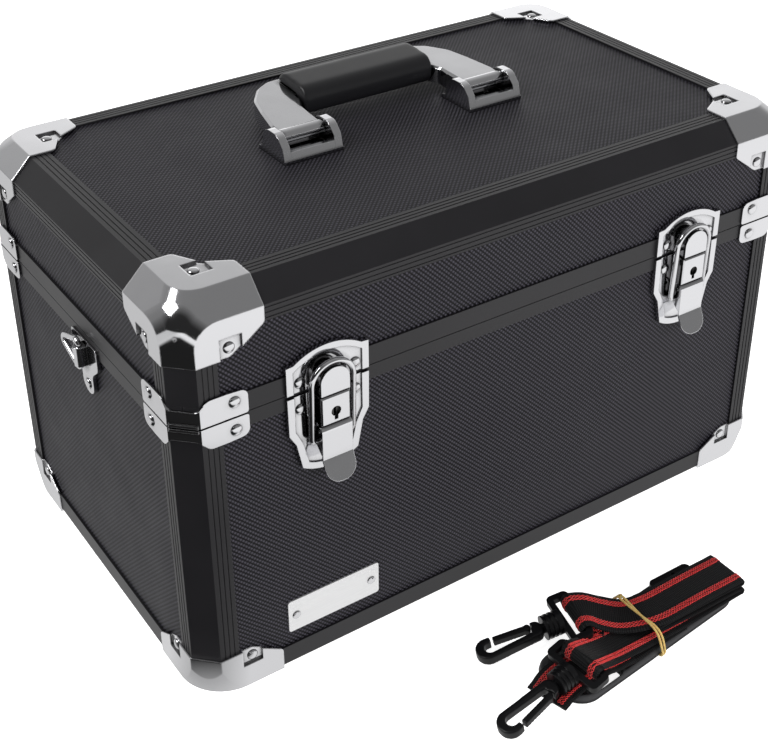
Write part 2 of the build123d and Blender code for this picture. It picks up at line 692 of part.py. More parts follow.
bail_end = ear_inner + ear_thickness + 0.2
bend = 2.0
slope = Vector(0, bail_top - bail_y, bail_top_out - bail_z).normalized()
arch_run = (bail_top - bail_y) / slope.Y - bail_half_width
bail_plane = Plane(origin=(0, bail_y, bail_z), x_dir=(1, 0, 0), z_dir=tuple(Vector(1, 0, 0).cross(slope)))
legs = Line((-bail_half_width, bend), (-bail_half_width, arch_run))
legs += ThreePointArc((-bail_half_width, arch_run), (0, arch_run + bail_half_width), (bail_half_width, arch_run))
legs += Line((bail_half_width, arch_run), (bail_half_width, bend))
turn_left = ThreePointArc((-bail_half_width + bend, 0),
                          (-bail_half_width + bend * (1 - sqrt(0.5)), bend * (1 - sqrt(0.5))),
                          (-bail_half_width, bend))
turn_right = ThreePointArc((bail_half_width, bend),
                           (bail_half_width - bend * (1 - sqrt(0.5)), bend * (1 - sqrt(0.5))),
                           (bail_half_width - bend, 0))
path = Line((-bail_end, 0), (-bail_half_width + bend, 0)) + turn_left + legs + turn_right
path += Line((bail_half_width - bend, 0), (bail_end, 0))
wire_path = bail_plane * path
bail = sweep(Plane(origin=(-bail_end, bail_y, bail_z), z_dir=(-1, 0, 0)) * Circle(bail_wire), path=wire_path)
save("latch_bail_left", [latch_left * bail])
save("latch_bail_right", [latch_right * bail])


# Nameplate, left bare

name_points = [(plate_x - plate_length / 2, plate_z - plate_height / 2, 1.5),
               (plate_x + plate_length / 2, plate_z - plate_height / 2, 1.5),
               (plate_x + plate_length / 2, plate_z + plate_height / 2, 1.5),
               (plate_x - plate_length / 2, plate_z + plate_height / 2, 1.5)]
panel_front = Plane(origin=(0, -half_depth + frame_wall + fit, 0), x_dir=(1, 0, 0), z_dir=(0, -1, 0))
save("nameplate", [plate(panel_front, name_points, plate_sheet)])


# Carrying handle, folded back on the lid. Local z is up from the frame's top face.

pivot_z = case_height + handle_axis_height
panel_top = lid_face
foot_in = foot_offset - foot_length / 2
foot_out = foot_offset + foot_length / 2
foot_front = -14.5
foot_back = foot_front + handle_foot_depth
handle_foot = block((foot_in, foot_front, panel_top), (foot_out, foot_back, panel_top + handle_foot_base))
sill_side = Plane(origin=(foot_in, 0, 0), x_dir=(0, 1, 0), z_dir=(1, 0, 0))
sill = [(foot_front, panel_top), (foot_front + 1.6, case_height + sill_height), (foot_front + sill_depth + 1.2,
        case_height + sill_height), (foot_front + sill_depth + 1.2, panel_top)]
handle_foot += extrude(sill_side * make_face(Polyline(*sill, close=True)), foot_length, dir=(1, 0, 0))
ear_top = case_height + ear_height + 1.0
ear_points = [(foot_front, panel_top), (foot_front + 2.2, case_height + 7.0, 2), (-6.6, ear_top, 6.4),
              (6.6, ear_top, 6.4), (8.2, case_height + 2.0, 4), (foot_back, panel_top + handle_foot_base),
              (foot_back, panel_top)]
ear_sheet = extrude(sill_side * make_face(outline(ear_points)), ear_wall, dir=(1, 0, 0))
handle_foot += ear_sheet + Pos(foot_length - ear_wall, 0, 0) * ear_sheet
handle_foot -= rod((foot_in + 1.2, 0, pivot_z), (foot_out - 1.2, 0, pivot_z), handle_pin_radius + 0.01)
save("handle_foot_right", [handle_foot])
save("handle_foot_left", [mirror(handle_foot, about=Plane.YZ)])
handle_pin = rod((foot_in + 1.4, 0, pivot_z), (foot_out - 1.4, 0, pivot_z), handle_pin_radius)
save("handle_pins", both_ends(handle_pin))

arm_in = foot_in + ear_wall + 0.3
arm_out = foot_out - ear_wall - 0.3
arm_base = case_height + arm_low
arm_top = case_height + arm_high
plan_at = Plane(origin=(0, 0, arm_base), x_dir=(1, 0, 0), z_dir=(0, 0, 1))
grip_end = grip_half_length + 0.2
core_back = handle_reach + 1.0
arm_plan = [(0, core_front), (grip_end, core_front), (grip_end, 26.0, 1.5), (arm_in - 0.6, 20.0, 6),
            (arm_in, 9.0, 5), (arm_in, 0), (arm_out, 0), (arm_out, 7.0, 6), (arm_out - 3.4, 24.0, 16),
            (arm_out - 7.0, 38.0, 14), (56.0, handle_reach - 4.5, 8), (48.0, handle_reach, 8),
            (36.0, core_back, 10), (0, core_back)]
arm = extrude(plan_at * make_face(outline(arm_plan)), arm_top - arm_base, dir=(0, 0, 1))
upper = [e for e in arm.edges().filter_by(GeomType.LINE) + arm.edges().filter_by(GeomType.CIRCLE)
         if abs(e.center().Z - arm_top) < 0.01 and e.center().Y > 1 and e.center().X > 0.5
         and abs(e.center().Y - core_front) > 0.1]
arm = chamfer(upper, 1.2)
bar_low = case_height + grip_axis_height - core_height / 2
bar_high = bar_low + core_height
inside_grip = block((-1, 0, arm_base - 1), (grip_end, 80, arm_top + 1))
arm -= inside_grip & block((-1, 0, arm_base - 1), (60, 80, bar_low))
arm -= inside_grip & block((-1, 0, bar_high), (60, 80, arm_top + 1))
arm += rod((arm_in, 0, pivot_z), (arm_out, 0, pivot_z), barrel_radius)
arm -= rod((arm_in - 5, 0, pivot_z), (arm_out + 5, 0, pivot_z), handle_pin_radius + running)
resting = Location((0, 0, pivot_z)) * Location((0, 0, 0), (handle_rest, 0, 0)) * Location((0, 0, -pivot_z))
save("handle_frame", [resting * (arm + mirror(arm, about=Plane.YZ))])

grip_section = Plane(origin=(-grip_half_length, grip_middle, case_height + grip_axis_height), x_dir=(0, 1, 0),
                     z_dir=(1, 0, 0))
half_y = grip_depth / 2
half_z = grip_height / 2
oval = outline([(-half_y, -half_z, 7.5), (half_y, -half_z, 7.5), (half_y, half_z, 7.5), (-half_y, half_z, 7.5)])
grip = extrude(grip_section * make_face(oval), 2 * grip_half_length, dir=(1, 0, 0))
grip -= block((-60, core_front - fit, bar_low - fit), (60, 80, bar_high + fit))
save("handle_grip", [resting * grip])


# Rear hinges: two leaves each, with knuckles that take turns along one pin

hinge_y = half_depth + hinge_knuckle_radius + 0.3
joggle_room = 1.5
knuckle_length = hinge_length / knuckle_count


def leaf(way, height, own, bore):
    """One leaf with its knuckles. Way 1 is the lid's, -1 the base's."""
    face = half_depth
    joggle = (base_rim_height if way < 0 else lid_rim_height) + joggle_room
    low, high = sorted((0.4 * way, joggle * way))
    piece = block((-hinge_length / 2, face, seam_height + low),
                  (hinge_length / 2, face + leaf_thickness, seam_height + high))
    low, high = sorted(((joggle - 0.8) * way, height * way))
    piece += block((-hinge_length / 2, face - frame_wall, seam_height + low),
                   (hinge_length / 2, face - frame_wall + leaf_thickness, seam_height + high))
    low, high = sorted(((joggle - 0.8) * way, joggle * way))
    piece += block((-hinge_length / 2, face - frame_wall, seam_height + low),
                   (hinge_length / 2, face + leaf_thickness, seam_height + high))
    for i in range(knuckle_count):
        start = -hinge_length / 2 + i * knuckle_length
        if i % 2 == own:
            trim = knuckle_clearance / 2
            piece += rod((start + trim, hinge_y, seam_height), (start + knuckle_length - trim, hinge_y, seam_height),
                         hinge_knuckle_radius)
        else:
            piece -= block((start - knuckle_clearance / 2, face - 2, seam_height - 3.1),
                           (start + knuckle_length + knuckle_clearance / 2, face + 8, seam_height + 3.1))
    return piece - rod((-50, hinge_y, seam_height), (50, hinge_y, seam_height), bore)


lid_leaf = leaf(1, lid_leaf_height, 1, hinge_pin_radius + 0.01)
base_leaf = leaf(-1, base_leaf_height, 0, hinge_pin_radius + running)
save("lid_hinge_leaves", both_ends(Pos(hinge_offset, 0, 0) * lid_leaf))
save("base_hinge_leaves", both_ends(Pos(hinge_offset, 0, 0) * base_leaf))
pin = rod((-hinge_length / 2 - 0.6, hinge_y, seam_height), (hinge_length / 2 + 0.6, hinge_y, seam_height),
          hinge_pin_radius)
save("hinge_pins", both_ends(Pos(hinge_offset, 0, 0) * pin))


# Strap anchors and their rings, drawn for the left end: x towards the front, y up from the seam, z outwards

left_plane = Plane(origin=(-half_length, anchor_middle, seam_height), x_dir=(0, -1, 0), z_dir=(-1, 0, 0))
half_top = anchor_top_width / 2
half_toe = anchor_toe_width / 2
anchor_low = -anchor_top - anchor_height
anchor_points = [(-half_top, -anchor_top, 2), (-half_top, -anchor_top - 12, 6), (-half_toe, -anchor_top - 19, 5),
                 (-half_toe, anchor_low, 6.3), (half_toe, anchor_low, 6.3), (half_toe, -anchor_top - 19, 5),
                 (half_top, -anchor_top - 12, 6), (half_top, -anchor_top, 2)]
anchor_face = make_face(outline(anchor_points))
anchor = extrude(anchor_face, anchor_sheet, dir=(0, 0, 1))
anchor += extrude(anchor_face, -panel_step, dir=(0, 0, 1)) & block(
    (-half_top, anchor_low - 1, -panel_step), (half_top, -base_rim_height - fit - 0.4, 0))
bridge_y = -bridge_drop + 5.4
bridge_half = bridge_height / 2
ring_z = anchor_sheet + ring_out
bridge_inner = ring_wire + running
bridge = rod((0, bridge_y - bridge_half, ring_z), (0, bridge_y + bridge_half, ring_z), bridge_inner + 1.5)
bridge += block((-bridge_inner - 1.5, bridge_y - bridge_half, anchor_sheet),
                (bridge_inner + 1.5, bridge_y + bridge_half, ring_z))
bridge -= rod((0, bridge_y - 20, ring_z), (0, bridge_y + 20, ring_z), bridge_inner)
anchor += bridge
left_anchor = left_plane.location * anchor
save("strap_anchor_left", [left_anchor])
save("strap_anchor_right", [mirror(left_anchor, about=Plane.YZ)])

ring_path = FilletPolyline((0, bridge_y - ring_half_height, ring_z), (-ring_reach, bridge_y, ring_z),
                           (0, bridge_y + ring_half_height, ring_z), radius=2.6, close=True)
ring_start = ring_path.position_at(0)
ring_way = ring_path.tangent_at(0)
wire_ring = sweep(Plane(origin=ring_start, z_dir=ring_way) * Circle(ring_wire), path=ring_path)
left_ring = left_plane.location * wire_ring
save("strap_ring_left", [left_ring])
save("strap_ring_right", [mirror(left_ring, about=Plane.YZ)])


# Shoulder strap, taken off and folded on the floor in front of the case

pad_length = 124.0
pad_width = 36.0
pad_thickness = 5.0
pad_end = 13.0
pad_slot_length = 20.0
pad_slot_width = 6.5
pad_slot_from_end = 13.0
pad_slot_rim = 2.5
pad_slot_slant = 3.0
webbing_width = 25.0
webbing_thickness = 1.6
fold_gap = 1.0
fold_count = 4
fold_length = 70.0
upper_run = 72.0
upper_reach = 40.0
lower_run = 104.0
lower_rise_from = 91.5
lower_rise = 3.8
stack_x = 80.4
stack_out = 85.0
pad_x = 81.0
pad_out = 77.0
ribbon_x = 76.0
ribbon_out = 81.0
upper_x = 13.0
upper_out = 85.5
hook_one_x = -17.0
hook_one_out = 63.1
hook_one_rise = 11.8
hook_two_x = -37.0
hook_two_out = 94.5
hook_two_rise = 13.6
band_wire = 0.9
band_room = 1.3
band_near_room = 0.1
band_far_room = 2.9
band_from_end = 62.0
slider_length = 28.0
slider_width = 30.0
slider_sheet = 2.4
slider_reach = 21.5
collar_radius = 6.5
collar_length = 9.0
shank_radius = 2.5
head_radius = 4.0
hook_length = 36.5
hook_width = 14.5
hook_root_width = 9.2
hook_opening = 7.2
hook_root_opening = 2.4
hook_taper = 4.4
hook_thickness = 5.5
gate_width = 3.2
gate_length = 20.0
loop_bar = 3.4
loop_depth = 5.5


def lying(x, y, height, heading, pitch=0.0):
    """A place on or above the floor, with its local X turned to a heading and raised by a pitch."""
    return Location((x, y, height), (0, 0, heading)) * Location((0, 0, 0), (0, -pitch, 0))


strap_at = lying(stack_x, -half_depth - stack_out, 0, 180.0)
pad_at = lying(pad_x, -half_depth - pad_out, 0, 186.0)
ribbon_at = lying(ribbon_x, -half_depth - ribbon_out, 0, 187.0)
upper_at = lying(upper_x, -half_depth - upper_out, 0, 139.0)
hook_one_at = lying(hook_one_x, -half_depth - hook_one_out, hook_one_rise, 166.5, -10.0)
hook_two_at = lying(hook_two_x, -half_depth - hook_two_out, hook_two_rise, 185.0, -12.0)

stadium = outline([(0, -pad_width / 2, pad_end), (pad_length, -pad_width / 2, pad_end),
                   (pad_length, pad_width / 2, pad_end), (0, pad_width / 2, pad_end)])
pad = extrude(make_face(stadium), pad_thickness, dir=(0, 0, 1))
slot_end = pad_length - pad_slot_from_end
slot_start = slot_end - pad_slot_length
slot_high = pad_width / 2 - pad_slot_rim
slot_low = slot_high - pad_slot_width
slot = outline([(slot_start, slot_low, 3.0), (slot_end, slot_low, 3.0),
                (slot_end - pad_slot_slant, slot_high, 3.0), (slot_start, slot_high, 3.0)])
pad -= extrude(make_face(slot), pad_thickness, dir=(0, 0, 1))
pinch = 2 * band_wire + 0.4
pad_pinch = strap_at * block((band_from_end - 2.2, -60, 0), (band_from_end + 2.2, 60, pinch))
save("shoulder_pad", [pad_at * pad - pad_pinch])


def folded_webbing(count, length, base, first, last):
    """Side outline of layers joined by a bend at alternate ends, with other lengths for the two outer ones."""
    pitch = webbing_thickness + fold_gap
    radius = pitch / 2 + webbing_thickness / 2
    profile = None
    for i in range(count):
        low = base + i * pitch
        run = first if i == 0 else last if i + 1 == count else length
        face = Pos(run / 2, low + webbing_thickness / 2) * Rectangle(run, webbing_thickness)
        if i + 1 < count:
            end = length if i % 2 else 0
            bend = Pos(end, low + radius) * (Circle(radius) - Circle(fold_gap / 2))
            side = 10 if i % 2 else -10
            face += bend & (Pos(end + side, low + radius) * Rectangle(20, 40))
        profile = face if profile is None else profile + face
    return profile


def wrap(location):
    """The webbing's turn round the bar of an end fitting."""
    middle = location * Location((-loop_depth - 1.5 * loop_bar, 0, 0))
    inner = loop_bar * 0.75
    turn = Cylinder(inner + webbing_thickness, webbing_width) - Cylinder(inner, webbing_width + 2)
    return middle * Location((0, 0, 0), (90, 0, 0)) * turn


side_view = Plane(origin=(0, webbing_width / 2, 0), x_dir=(1, 0, 0), z_dir=(0, -1, 0))
stack_base = pad_thickness + slider_sheet + 0.4
profile = folded_webbing(fold_count, fold_length, stack_base, 18.0, upper_run)
webbing = strap_at * extrude(side_view * profile, webbing_width, dir=(0, -1, 0))
under = [(0, 0), (lower_rise_from, 0), (lower_run, lower_rise)]
under += [(x, z + webbing_thickness) for x, z in reversed(under)]
ribbon = side_view * Pos(0, stack_base) * make_face(Polyline(*under, close=True))
webbing += ribbon_at * extrude(ribbon, webbing_width, dir=(0, -1, 0))
top_layer = stack_base + (fold_count - 1) * (webbing_thickness + fold_gap)
leaving = upper_at * block((0, -webbing_width / 2, top_layer), (upper_reach, webbing_width / 2,
                                                                top_layer + webbing_thickness))
behind_loop = hook_one_at * block((-80, -40, -40), (-loop_depth - 2 * loop_bar - 0.4, 40, 40))
webbing += leaving & behind_loop
webbing += wrap(hook_one_at) + wrap(hook_two_at)
save("shoulder_webbing", [webbing])

slider = extrude(make_face(outline([(0, 0, 3), (slider_length, 0, 3), (slider_length, slider_width, 3),
                                    (0, slider_width, 3)])), slider_sheet, dir=(0, 0, 1))
for cut in (6.0, 17.0):
    slider -= block((cut, 8.0, -1), (cut + 5.0, slider_width - 3.0, slider_sheet + 1))
slider -= Pos(12.0, 3.6, slider_sheet / 2) * Cylinder(1.5, 10)
save("strap_slider", [strap_at * Pos(8.0, -slider_reach, pad_thickness + 0.1) * slider])

top = stack_base + (fold_count - 1) * (webbing_thickness + fold_gap) + webbing_thickness
band_half = webbing_width / 2 + band_room
band_near = pad_width / 2 + band_near_room
band_far = pad_width / 2 + band_far_room
band_low = band_wire + 0.2
band_points = [(-band_half, top + band_room), (band_half, top + band_room), (band_near, stack_base + 2.2),
               (band_near, band_low), (-band_far, band_low), (-band_far, stack_base)]
band_plane = Plane(origin=(band_from_end, 0, 0), x_dir=(0, 1, 0), z_dir=(1, 0, 0))
band_path = band_plane * FilletPolyline(*band_points, radius=1.4, close=True)
band = sweep(Plane(origin=band_path.position_at(0), z_dir=band_path.tangent_at(0)) * Circle(band_wire),
             path=band_path)
save("strap_band", [strap_at * band])


def swivel(location):
    """The strap's end fitting: a loop for the webbing and a hollow collar. Local X runs out to the hook."""
    reach = loop_depth + 2 * loop_bar
    across = webbing_width + 1.5 + 2 * loop_bar
    loop = block((-reach, -across / 2, -loop_bar / 2), (0, across / 2, loop_bar / 2))
    loop = fillet(loop.edges().filter_by(Axis.Z), 3.0)
    loop -= block((-reach + loop_bar, -across / 2 + loop_bar, -5), (-loop_bar, across / 2 - loop_bar, 5))
    collar = rod((-1.0, 0, 0), (collar_length, 0, 0), collar_radius)
    for groove in (2.0, 4.5, 7.0):
        collar -= rod((groove, 0, 0), (groove + 1.0, 0, 0), collar_radius + 1) - rod(
            (groove - 1, 0, 0), (groove + 2, 0, 0), collar_radius - 0.6)
    collar -= rod((1.6, 0, 0), (6.4, 0, 0), head_radius + 0.1)
    collar -= rod((6.2, 0, 0), (collar_length + 1, 0, 0), shank_radius + running)
    return location * (loop + collar)


hook_start = collar_length + 1.0
gate_start = hook_start + 6.8
gate_side = 3.3


def snap_hook(location):
    """The hook that turns in the collar, without its gate. Local X runs out to the tip."""
    tip = hook_start + hook_length
    half = hook_width / 2
    root = hook_root_width / 2
    hook = outline([(hook_start, -root, 3), (tip, -half, half - 0.8), (tip, half, half - 0.8),
                    (hook_start, root, 3)])
    inner = hook_opening / 2
    narrow = hook_root_opening / 2
    eye = outline([(hook_start + 5.5, -narrow, 0.8), (tip - 4.6, -inner, inner - 0.4),
                   (tip - 4.6, inner, inner - 0.4), (hook_start + 5.5, narrow, 0.8)])
    body = extrude(Pos(0, 0, -hook_thickness / 2) * make_face(hook), hook_thickness, dir=(0, 0, 1))
    body -= extrude(Pos(0, 0, -hook_thickness) * make_face(eye), 2 * hook_thickness, dir=(0, 0, 1))
    room = Location((gate_start, gate_side, -hook_thickness), (0, 0, hook_taper))
    mouth = Pos(gate_length / 2 - 0.4, 0.4) * Rectangle(gate_length + 0.8, 6.4) + Circle(gate_width / 2 + 0.9)
    body -= room * extrude(mouth, 2 * hook_thickness, dir=(0, 0, 1))
    body += rod((3.6, 0, 0), (hook_start + 2.0, 0, 0), shank_radius)
    body += rod((2.0, 0, 0), (6.0, 0, 0), head_radius)
    return location * body


def snap_gate(location):
    """The gate that closes the hook's mouth, turning near the collar."""
    run = gate_length - 1.4
    bar = extrude(Pos(run / 2, 0, -2.0) * Rectangle(run, gate_width), 4.0, dir=(0, 0, 1))
    bar += extrude(Pos(0, 0, -2.0) * Circle(gate_width / 2 + 0.4), 4.0, dir=(0, 0, 1))
    return location * Location((gate_start, gate_side, 0), (0, 0, hook_taper)) * bar


# The first hook has turned half round in its collar, so its gate faces the case
half_turn = Location((0, 0, 0), (180, 0, 0))
for number, place, turned in ((1, hook_one_at, hook_one_at * half_turn), (2, hook_two_at, hook_two_at)):
    save("swivel_base_" + str(number), [swivel(place)])
    save("snap_hook_" + str(number), [snap_hook(turned)])
    save("snap_gate_" + str(number), [snap_gate(turned)])
    print("swivel axis", number, place.position, (place * Location((1, 0, 0))).position - place.position,
          "gate", (turned * Location((gate_start, gate_side, 0))).position,
          (turned * Location((0, 0, 1))).position - turned.position)
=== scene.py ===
import bmesh
import bpy
from math import cos, pi, radians, sin, sqrt, tan
from mathutils import Matrix, Vector
from mathutils.geometry import delaunay_2d_cdt


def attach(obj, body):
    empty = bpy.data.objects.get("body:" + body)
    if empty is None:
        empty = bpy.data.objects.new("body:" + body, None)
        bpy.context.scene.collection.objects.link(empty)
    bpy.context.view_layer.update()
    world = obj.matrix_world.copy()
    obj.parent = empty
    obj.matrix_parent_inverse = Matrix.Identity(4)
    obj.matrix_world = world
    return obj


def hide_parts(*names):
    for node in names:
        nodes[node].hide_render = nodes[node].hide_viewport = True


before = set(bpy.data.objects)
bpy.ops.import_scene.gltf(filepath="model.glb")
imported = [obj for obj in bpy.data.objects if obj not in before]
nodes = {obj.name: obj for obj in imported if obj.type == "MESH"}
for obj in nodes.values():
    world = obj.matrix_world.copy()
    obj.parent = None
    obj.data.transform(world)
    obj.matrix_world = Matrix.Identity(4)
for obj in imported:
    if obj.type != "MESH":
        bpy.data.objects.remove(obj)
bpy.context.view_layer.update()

# Wall panels
# Ten pieces of laminated board, faced with a black skin that was rolled with slanted ribs of small dimples.
# Each slides into the channels of the frame, so only its face shows.

mm = 0.001
rib_slant = radians(45)
rib_pitch = 1.9 * mm
dimple_pitch = 1.9 * mm
rib_depth = 0.22 * mm
dimple_floor = 0.25
skin_grain = 0.02 * mm
# Painted shade for the hollows and painted highlight for the crests of the skin's relief.
skin_hollow_shade = (0.0016, 0.0015, 0.0019, 1)
skin_crest_highlight = (0.052, 0.049, 0.062, 1)


def add(tree, kind, inputs=None, out=0, **settings):
    """Adds a shader node, sets or links its inputs, and returns one output."""
    made = tree.nodes.new("ShaderNode" + kind)
    for name, value in settings.items():
        setattr(made, name, value)
    for socket, value in (inputs or {}).items():
        if isinstance(value, bpy.types.NodeSocket):
            tree.links.new(value, made.inputs[socket])
        else:
            made.inputs[socket].default_value = value
    return made.outputs[out] if len(made.outputs) else made


def finish_named(name, constants):
    """A new material, its tree and its shader, with the shader's constant sockets set."""
    material = bpy.data.materials.new(name)
    material.use_nodes = True
    tree = material.node_tree
    shader = tree.nodes["Principled BSDF"]
    for socket, value in constants.items():
        shader.inputs[socket].default_value = value
    return material, tree, shader


def place_of(tree):
    """The point on the piece itself, in metres, so the pattern moves with the piece."""
    return add(tree, "TexCoord", out="Object")


def between(tree, share, low, high, start=0.0, end=1.0):
    """Maps start to end onto low to high."""
    inputs = {"Value": share, "From Min": start, "From Max": end, "To Min": low, "To Max": high}
    return add(tree, "MapRange", inputs)


def tinted(tree, share, low, high):
    """A colour from low to high."""
    return add(tree, "Mix", {"Factor": share, 6: low, 7: high}, out=2, data_type="RGBA")


def along_way(tree, point, way):
    """How far a point lies along a direction."""
    return add(tree, "VectorMath", {0: point, 1: way}, out="Value", operation="DOT_PRODUCT")


def product(tree, first, second):
    """One value times another."""
    return add(tree, "Math", {0: first, 1: second}, operation="MULTIPLY")


def wave(tree, point, direction, pitch):
    """Rounded ridges across a direction, 0 to 1."""
    phase = along_way(tree, point, [part * 2 * pi / pitch for part in direction])
    ridge = add(tree, "Math", {0: phase}, operation="SINE")
    return add(tree, "Math", {0: ridge, 1: 0.5, 2: 0.5}, operation="MULTIPLY_ADD")


def cloud(tree, scale, detail, **inputs):
    """Soft blotches over the piece, 0 to 1. The scale is how many there are to a metre."""
    return add(tree, "TexNoise", {"Vector": place_of(tree), "Scale": scale, "Detail": detail, **inputs})


def raised(tree, height, distance, strength=1.0, over=None):
    """A surface raised by a height from 0 to 1, over another relief where one is given."""
    inputs = {"Height": height, "Distance": distance, "Strength": strength}
    if over is not None:
        inputs["Normal"] = over
    return add(tree, "Bump", inputs)


def feed(tree, shader, inputs):
    """Links what varies over the surface to the shader."""
    for socket, output in inputs.items():
        tree.links.new(output, shader.inputs[socket])


def skin_finish(name, ridge_way, dimple_way):
    """Pressed black skin, with ribs across one direction that are broken into dimples across another."""
    material, tree, shader = finish_named(name, {"Specular IOR Level": 0.16})
    point = place_of(tree)
    ribs = wave(tree, point, ridge_way, rib_pitch)
    dimples = wave(tree, point, dimple_way, dimple_pitch)
    relief = product(tree, ribs, between(tree, dimples, dimple_floor, 1.0))
    dust = cloud(tree, scale=38.0, detail=3.0)
    grain = raised(tree, cloud(tree, scale=5200.0, detail=1.0), skin_grain, 0.5)
    # The colour follows the relief: painted shade in the hollows of the ribs and dimples, painted highlight
    # on their crests.
    feed(tree, shader, {"Base Color": tinted(tree, relief, skin_hollow_shade, skin_crest_highlight),
                        "Roughness": between(tree, dust, 0.38, 0.52),
                        "Normal": raised(tree, relief, rib_depth, over=grain)})
    return material


def coat(node_name, material):
    """Gives a CAD piece its finish."""
    slots = nodes[node_name].data.materials
    slots.clear()
    slots.append(material)


def slanted(across, up, lean):
    """The directions across the ribs and along them, on a face that spans two axes."""
    across = Vector(across)
    up = Vector(up)
    rib = across * cos(rib_slant) + up * sin(rib_slant) * lean
    square = across * -sin(rib_slant) * lean + up * cos(rib_slant)
    return square, rib


front_skin = skin_finish("front_skin", *slanted((1, 0, 0), (0, 0, 1), -1))
side_skin = skin_finish("side_skin", *slanted((0, 1, 0), (0, 0, 1), -1))
top_skin = skin_finish("top_skin", *slanted((1, 0, 0), (0, 1, 0), 1))
for half in ("base", "lid"):
    for side in ("front", "back"):
        coat(f"{half}_{side}_panel", front_skin)
    for side in ("left", "right"):
        coat(f"{half}_{side}_panel", side_skin)
coat("lid_top_panel", top_skin)
coat("base_bottom_panel", top_skin)

# Frame
# Bevelled aluminium extrusions round every edge, with three fine grooves along each flange, anodised black.
# They are cut at the corners, and the rims of base and lid meet at the seam.

frame_black = (0.0058, 0.0055, 0.0064, 1)
frame_worn = (0.0122, 0.0116, 0.0134, 1)
frame_edge = 0.18 * mm
drawing_depth = 0.012 * mm


def anodised_finish():
    """Satin black anodising with faint drawing marks."""
    material, tree, shader = finish_named("black_anodising", {"Specular IOR Level": 0.45})
    wear = cloud(tree, scale=24.0, detail=4.0)
    marks = cloud(tree, scale=3800.0, detail=2.0)
    edges = add(tree, "Bevel", {"Radius": frame_edge}, samples=4)
    feed(tree, shader, {"Base Color": tinted(tree, wear, frame_black, frame_worn),
                        "Roughness": between(tree, wear, 0.3, 0.42),
                        "Normal": raised(tree, marks, drawing_depth, 0.6, edges)})
    return material


anodised = anodised_finish()
for part in ("base_corner_posts", "base_bottom_rails", "base_rim"):
    coat(part, anodised)
for part in ("lid_corner_posts", "lid_top_rails", "lid_rim"):
    coat(part, anodised)

# Lining and lid foam
# Charcoal foam with a napped cloth face, glued inside the base and under the top of the lid.
# It shows only when the lid is open.

lining_dark = (0.032, 0.032, 0.035, 1)
lining_light = (0.075, 0.075, 0.08, 1)
lining_thickness = 3 * mm
lining_inside = 6.5 * mm
lining_corner = 14 * mm
lining_edge = 1.5 * mm
lining_crown = 0.15
lining_bottom = 7.55 * mm
lining_top = 162.1 * mm
lid_lining_bottom = 164.1 * mm
lid_lining_top = 212.8 * mm
floor_pad_inset = 13.3 * mm
floor_pad_bottom = 6.45 * mm
floor_pad_thickness = 4 * mm
floor_pad_edge = 2 * mm
floor_pad_crown = 0.1
foam_inset = 12.2 * mm
foam_thickness = 18 * mm
foam_top = 219.5 * mm
foam_edge = 7 * mm
foam_crown = 0.08
slab_grid = 12 * mm
slab_rim = 0.25
case_half_length = 190 * mm
case_half_depth = 112 * mm


def napped_finish():
    """Short brushed cloth over foam."""
    constants = {"Roughness": 0.95, "Sheen Weight": 0.5, "Sheen Roughness": 0.4, "Specular IOR Level": 0.2}
    material, tree, shader = finish_named("napped_lining", constants)
    nap = cloud(tree, scale=1500.0, detail=4.0, Roughness=0.7)
    tufts = raised(tree, cloud(tree, scale=160.0, detail=3.0), 0.3 * mm, 0.5)
    feed(tree, shader, {"Base Color": tinted(tree, nap, lining_dark, lining_light),
                        "Normal": raised(tree, nap, 0.15 * mm, over=tufts)})
    return material


def edge_steps(length, radius):
    """Places along a side, close together where its edge is rounded."""
    near = [radius * (1 - cos(pi / 2 * i / 5)) for i in range(5)]
    inner = max(2, int((length - 2 * radius) / slab_grid))
    across = [radius + (length - 2 * radius) * i / inner for i in range(inner + 1)]
    return near + across + [length - step for step in reversed(near)]


def quarter_round(share):
    """Rises from 0 to 1 as the edge of a rounded form does."""
    return sqrt(max(0.0, 1 - (1 - min(1.0, share)) ** 2))


def soft_slab(shape, corner, along, up, out, radius, crown):
    """Adds a cushioned slab to a bmesh: flat where it is glued, crowned on its free face."""
    corner, along, up, out = (Vector(part) for part in (corner, along, up, out))
    columns = edge_steps(along.length, radius)
    rows = edge_steps(up.length, radius)
    backs = []
    faces = []
    for x in columns:
        for y in rows:
            rim = min(x, along.length - x, y, up.length - y)
            middle = sin(pi * x / along.length) * sin(pi * y / up.length)
            swell = slab_rim + (1 - slab_rim) * quarter_round(rim / radius) + crown * middle
            place = corner + along.normalized() * x + up.normalized() * y
            backs.append(shape.verts.new(place))
            faces.append(shape.verts.new(place + out * swell))
    count = len(rows)
    last_row = count - 1
    last_column = len(columns) - 1
    rim_run = [(i, 0) for i in range(last_column)]
    rim_run += [(last_column, j) for j in range(last_row)]
    rim_run += [(i, last_row) for i in range(last_column, 0, -1)]
    rim_run += [(0, j) for j in range(last_row, 0, -1)]
    for i in range(last_column):
        for j in range(last_row):
            square = (i * count + j, (i + 1) * count + j, (i + 1) * count + j + 1, i * count + j + 1)
            shape.faces.new([faces[k] for k in square])
            shape.faces.new([backs[k] for k in reversed(square)])
    for (i, j), (k, m) in zip(rim_run, rim_run[1:] + rim_run[:1]):
        a = i * count + j
        b = k * count + m
        shape.faces.new((backs[a], backs[b], faces[b], faces[a]))


def lining_slabs(shape, low, high):
    """The four wall linings between two heights."""
    half_long = case_half_length - lining_corner
    half_deep = case_half_depth - lining_corner
    up = (0, 0, high - low)
    for way in (-1, 1):
        on_wall = (-half_long, way * (case_half_depth - lining_inside), low)
        inward = (0, -way * lining_thickness, 0)
        soft_slab(shape, on_wall, (2 * half_long, 0, 0), up, inward, lining_edge, lining_crown)
        on_end = (way * (case_half_length - lining_inside), -half_deep, low)
        inward = (-way * lining_thickness, 0, 0)
        soft_slab(shape, on_end, (0, 2 * half_deep, 0), up, inward, lining_edge, lining_crown)


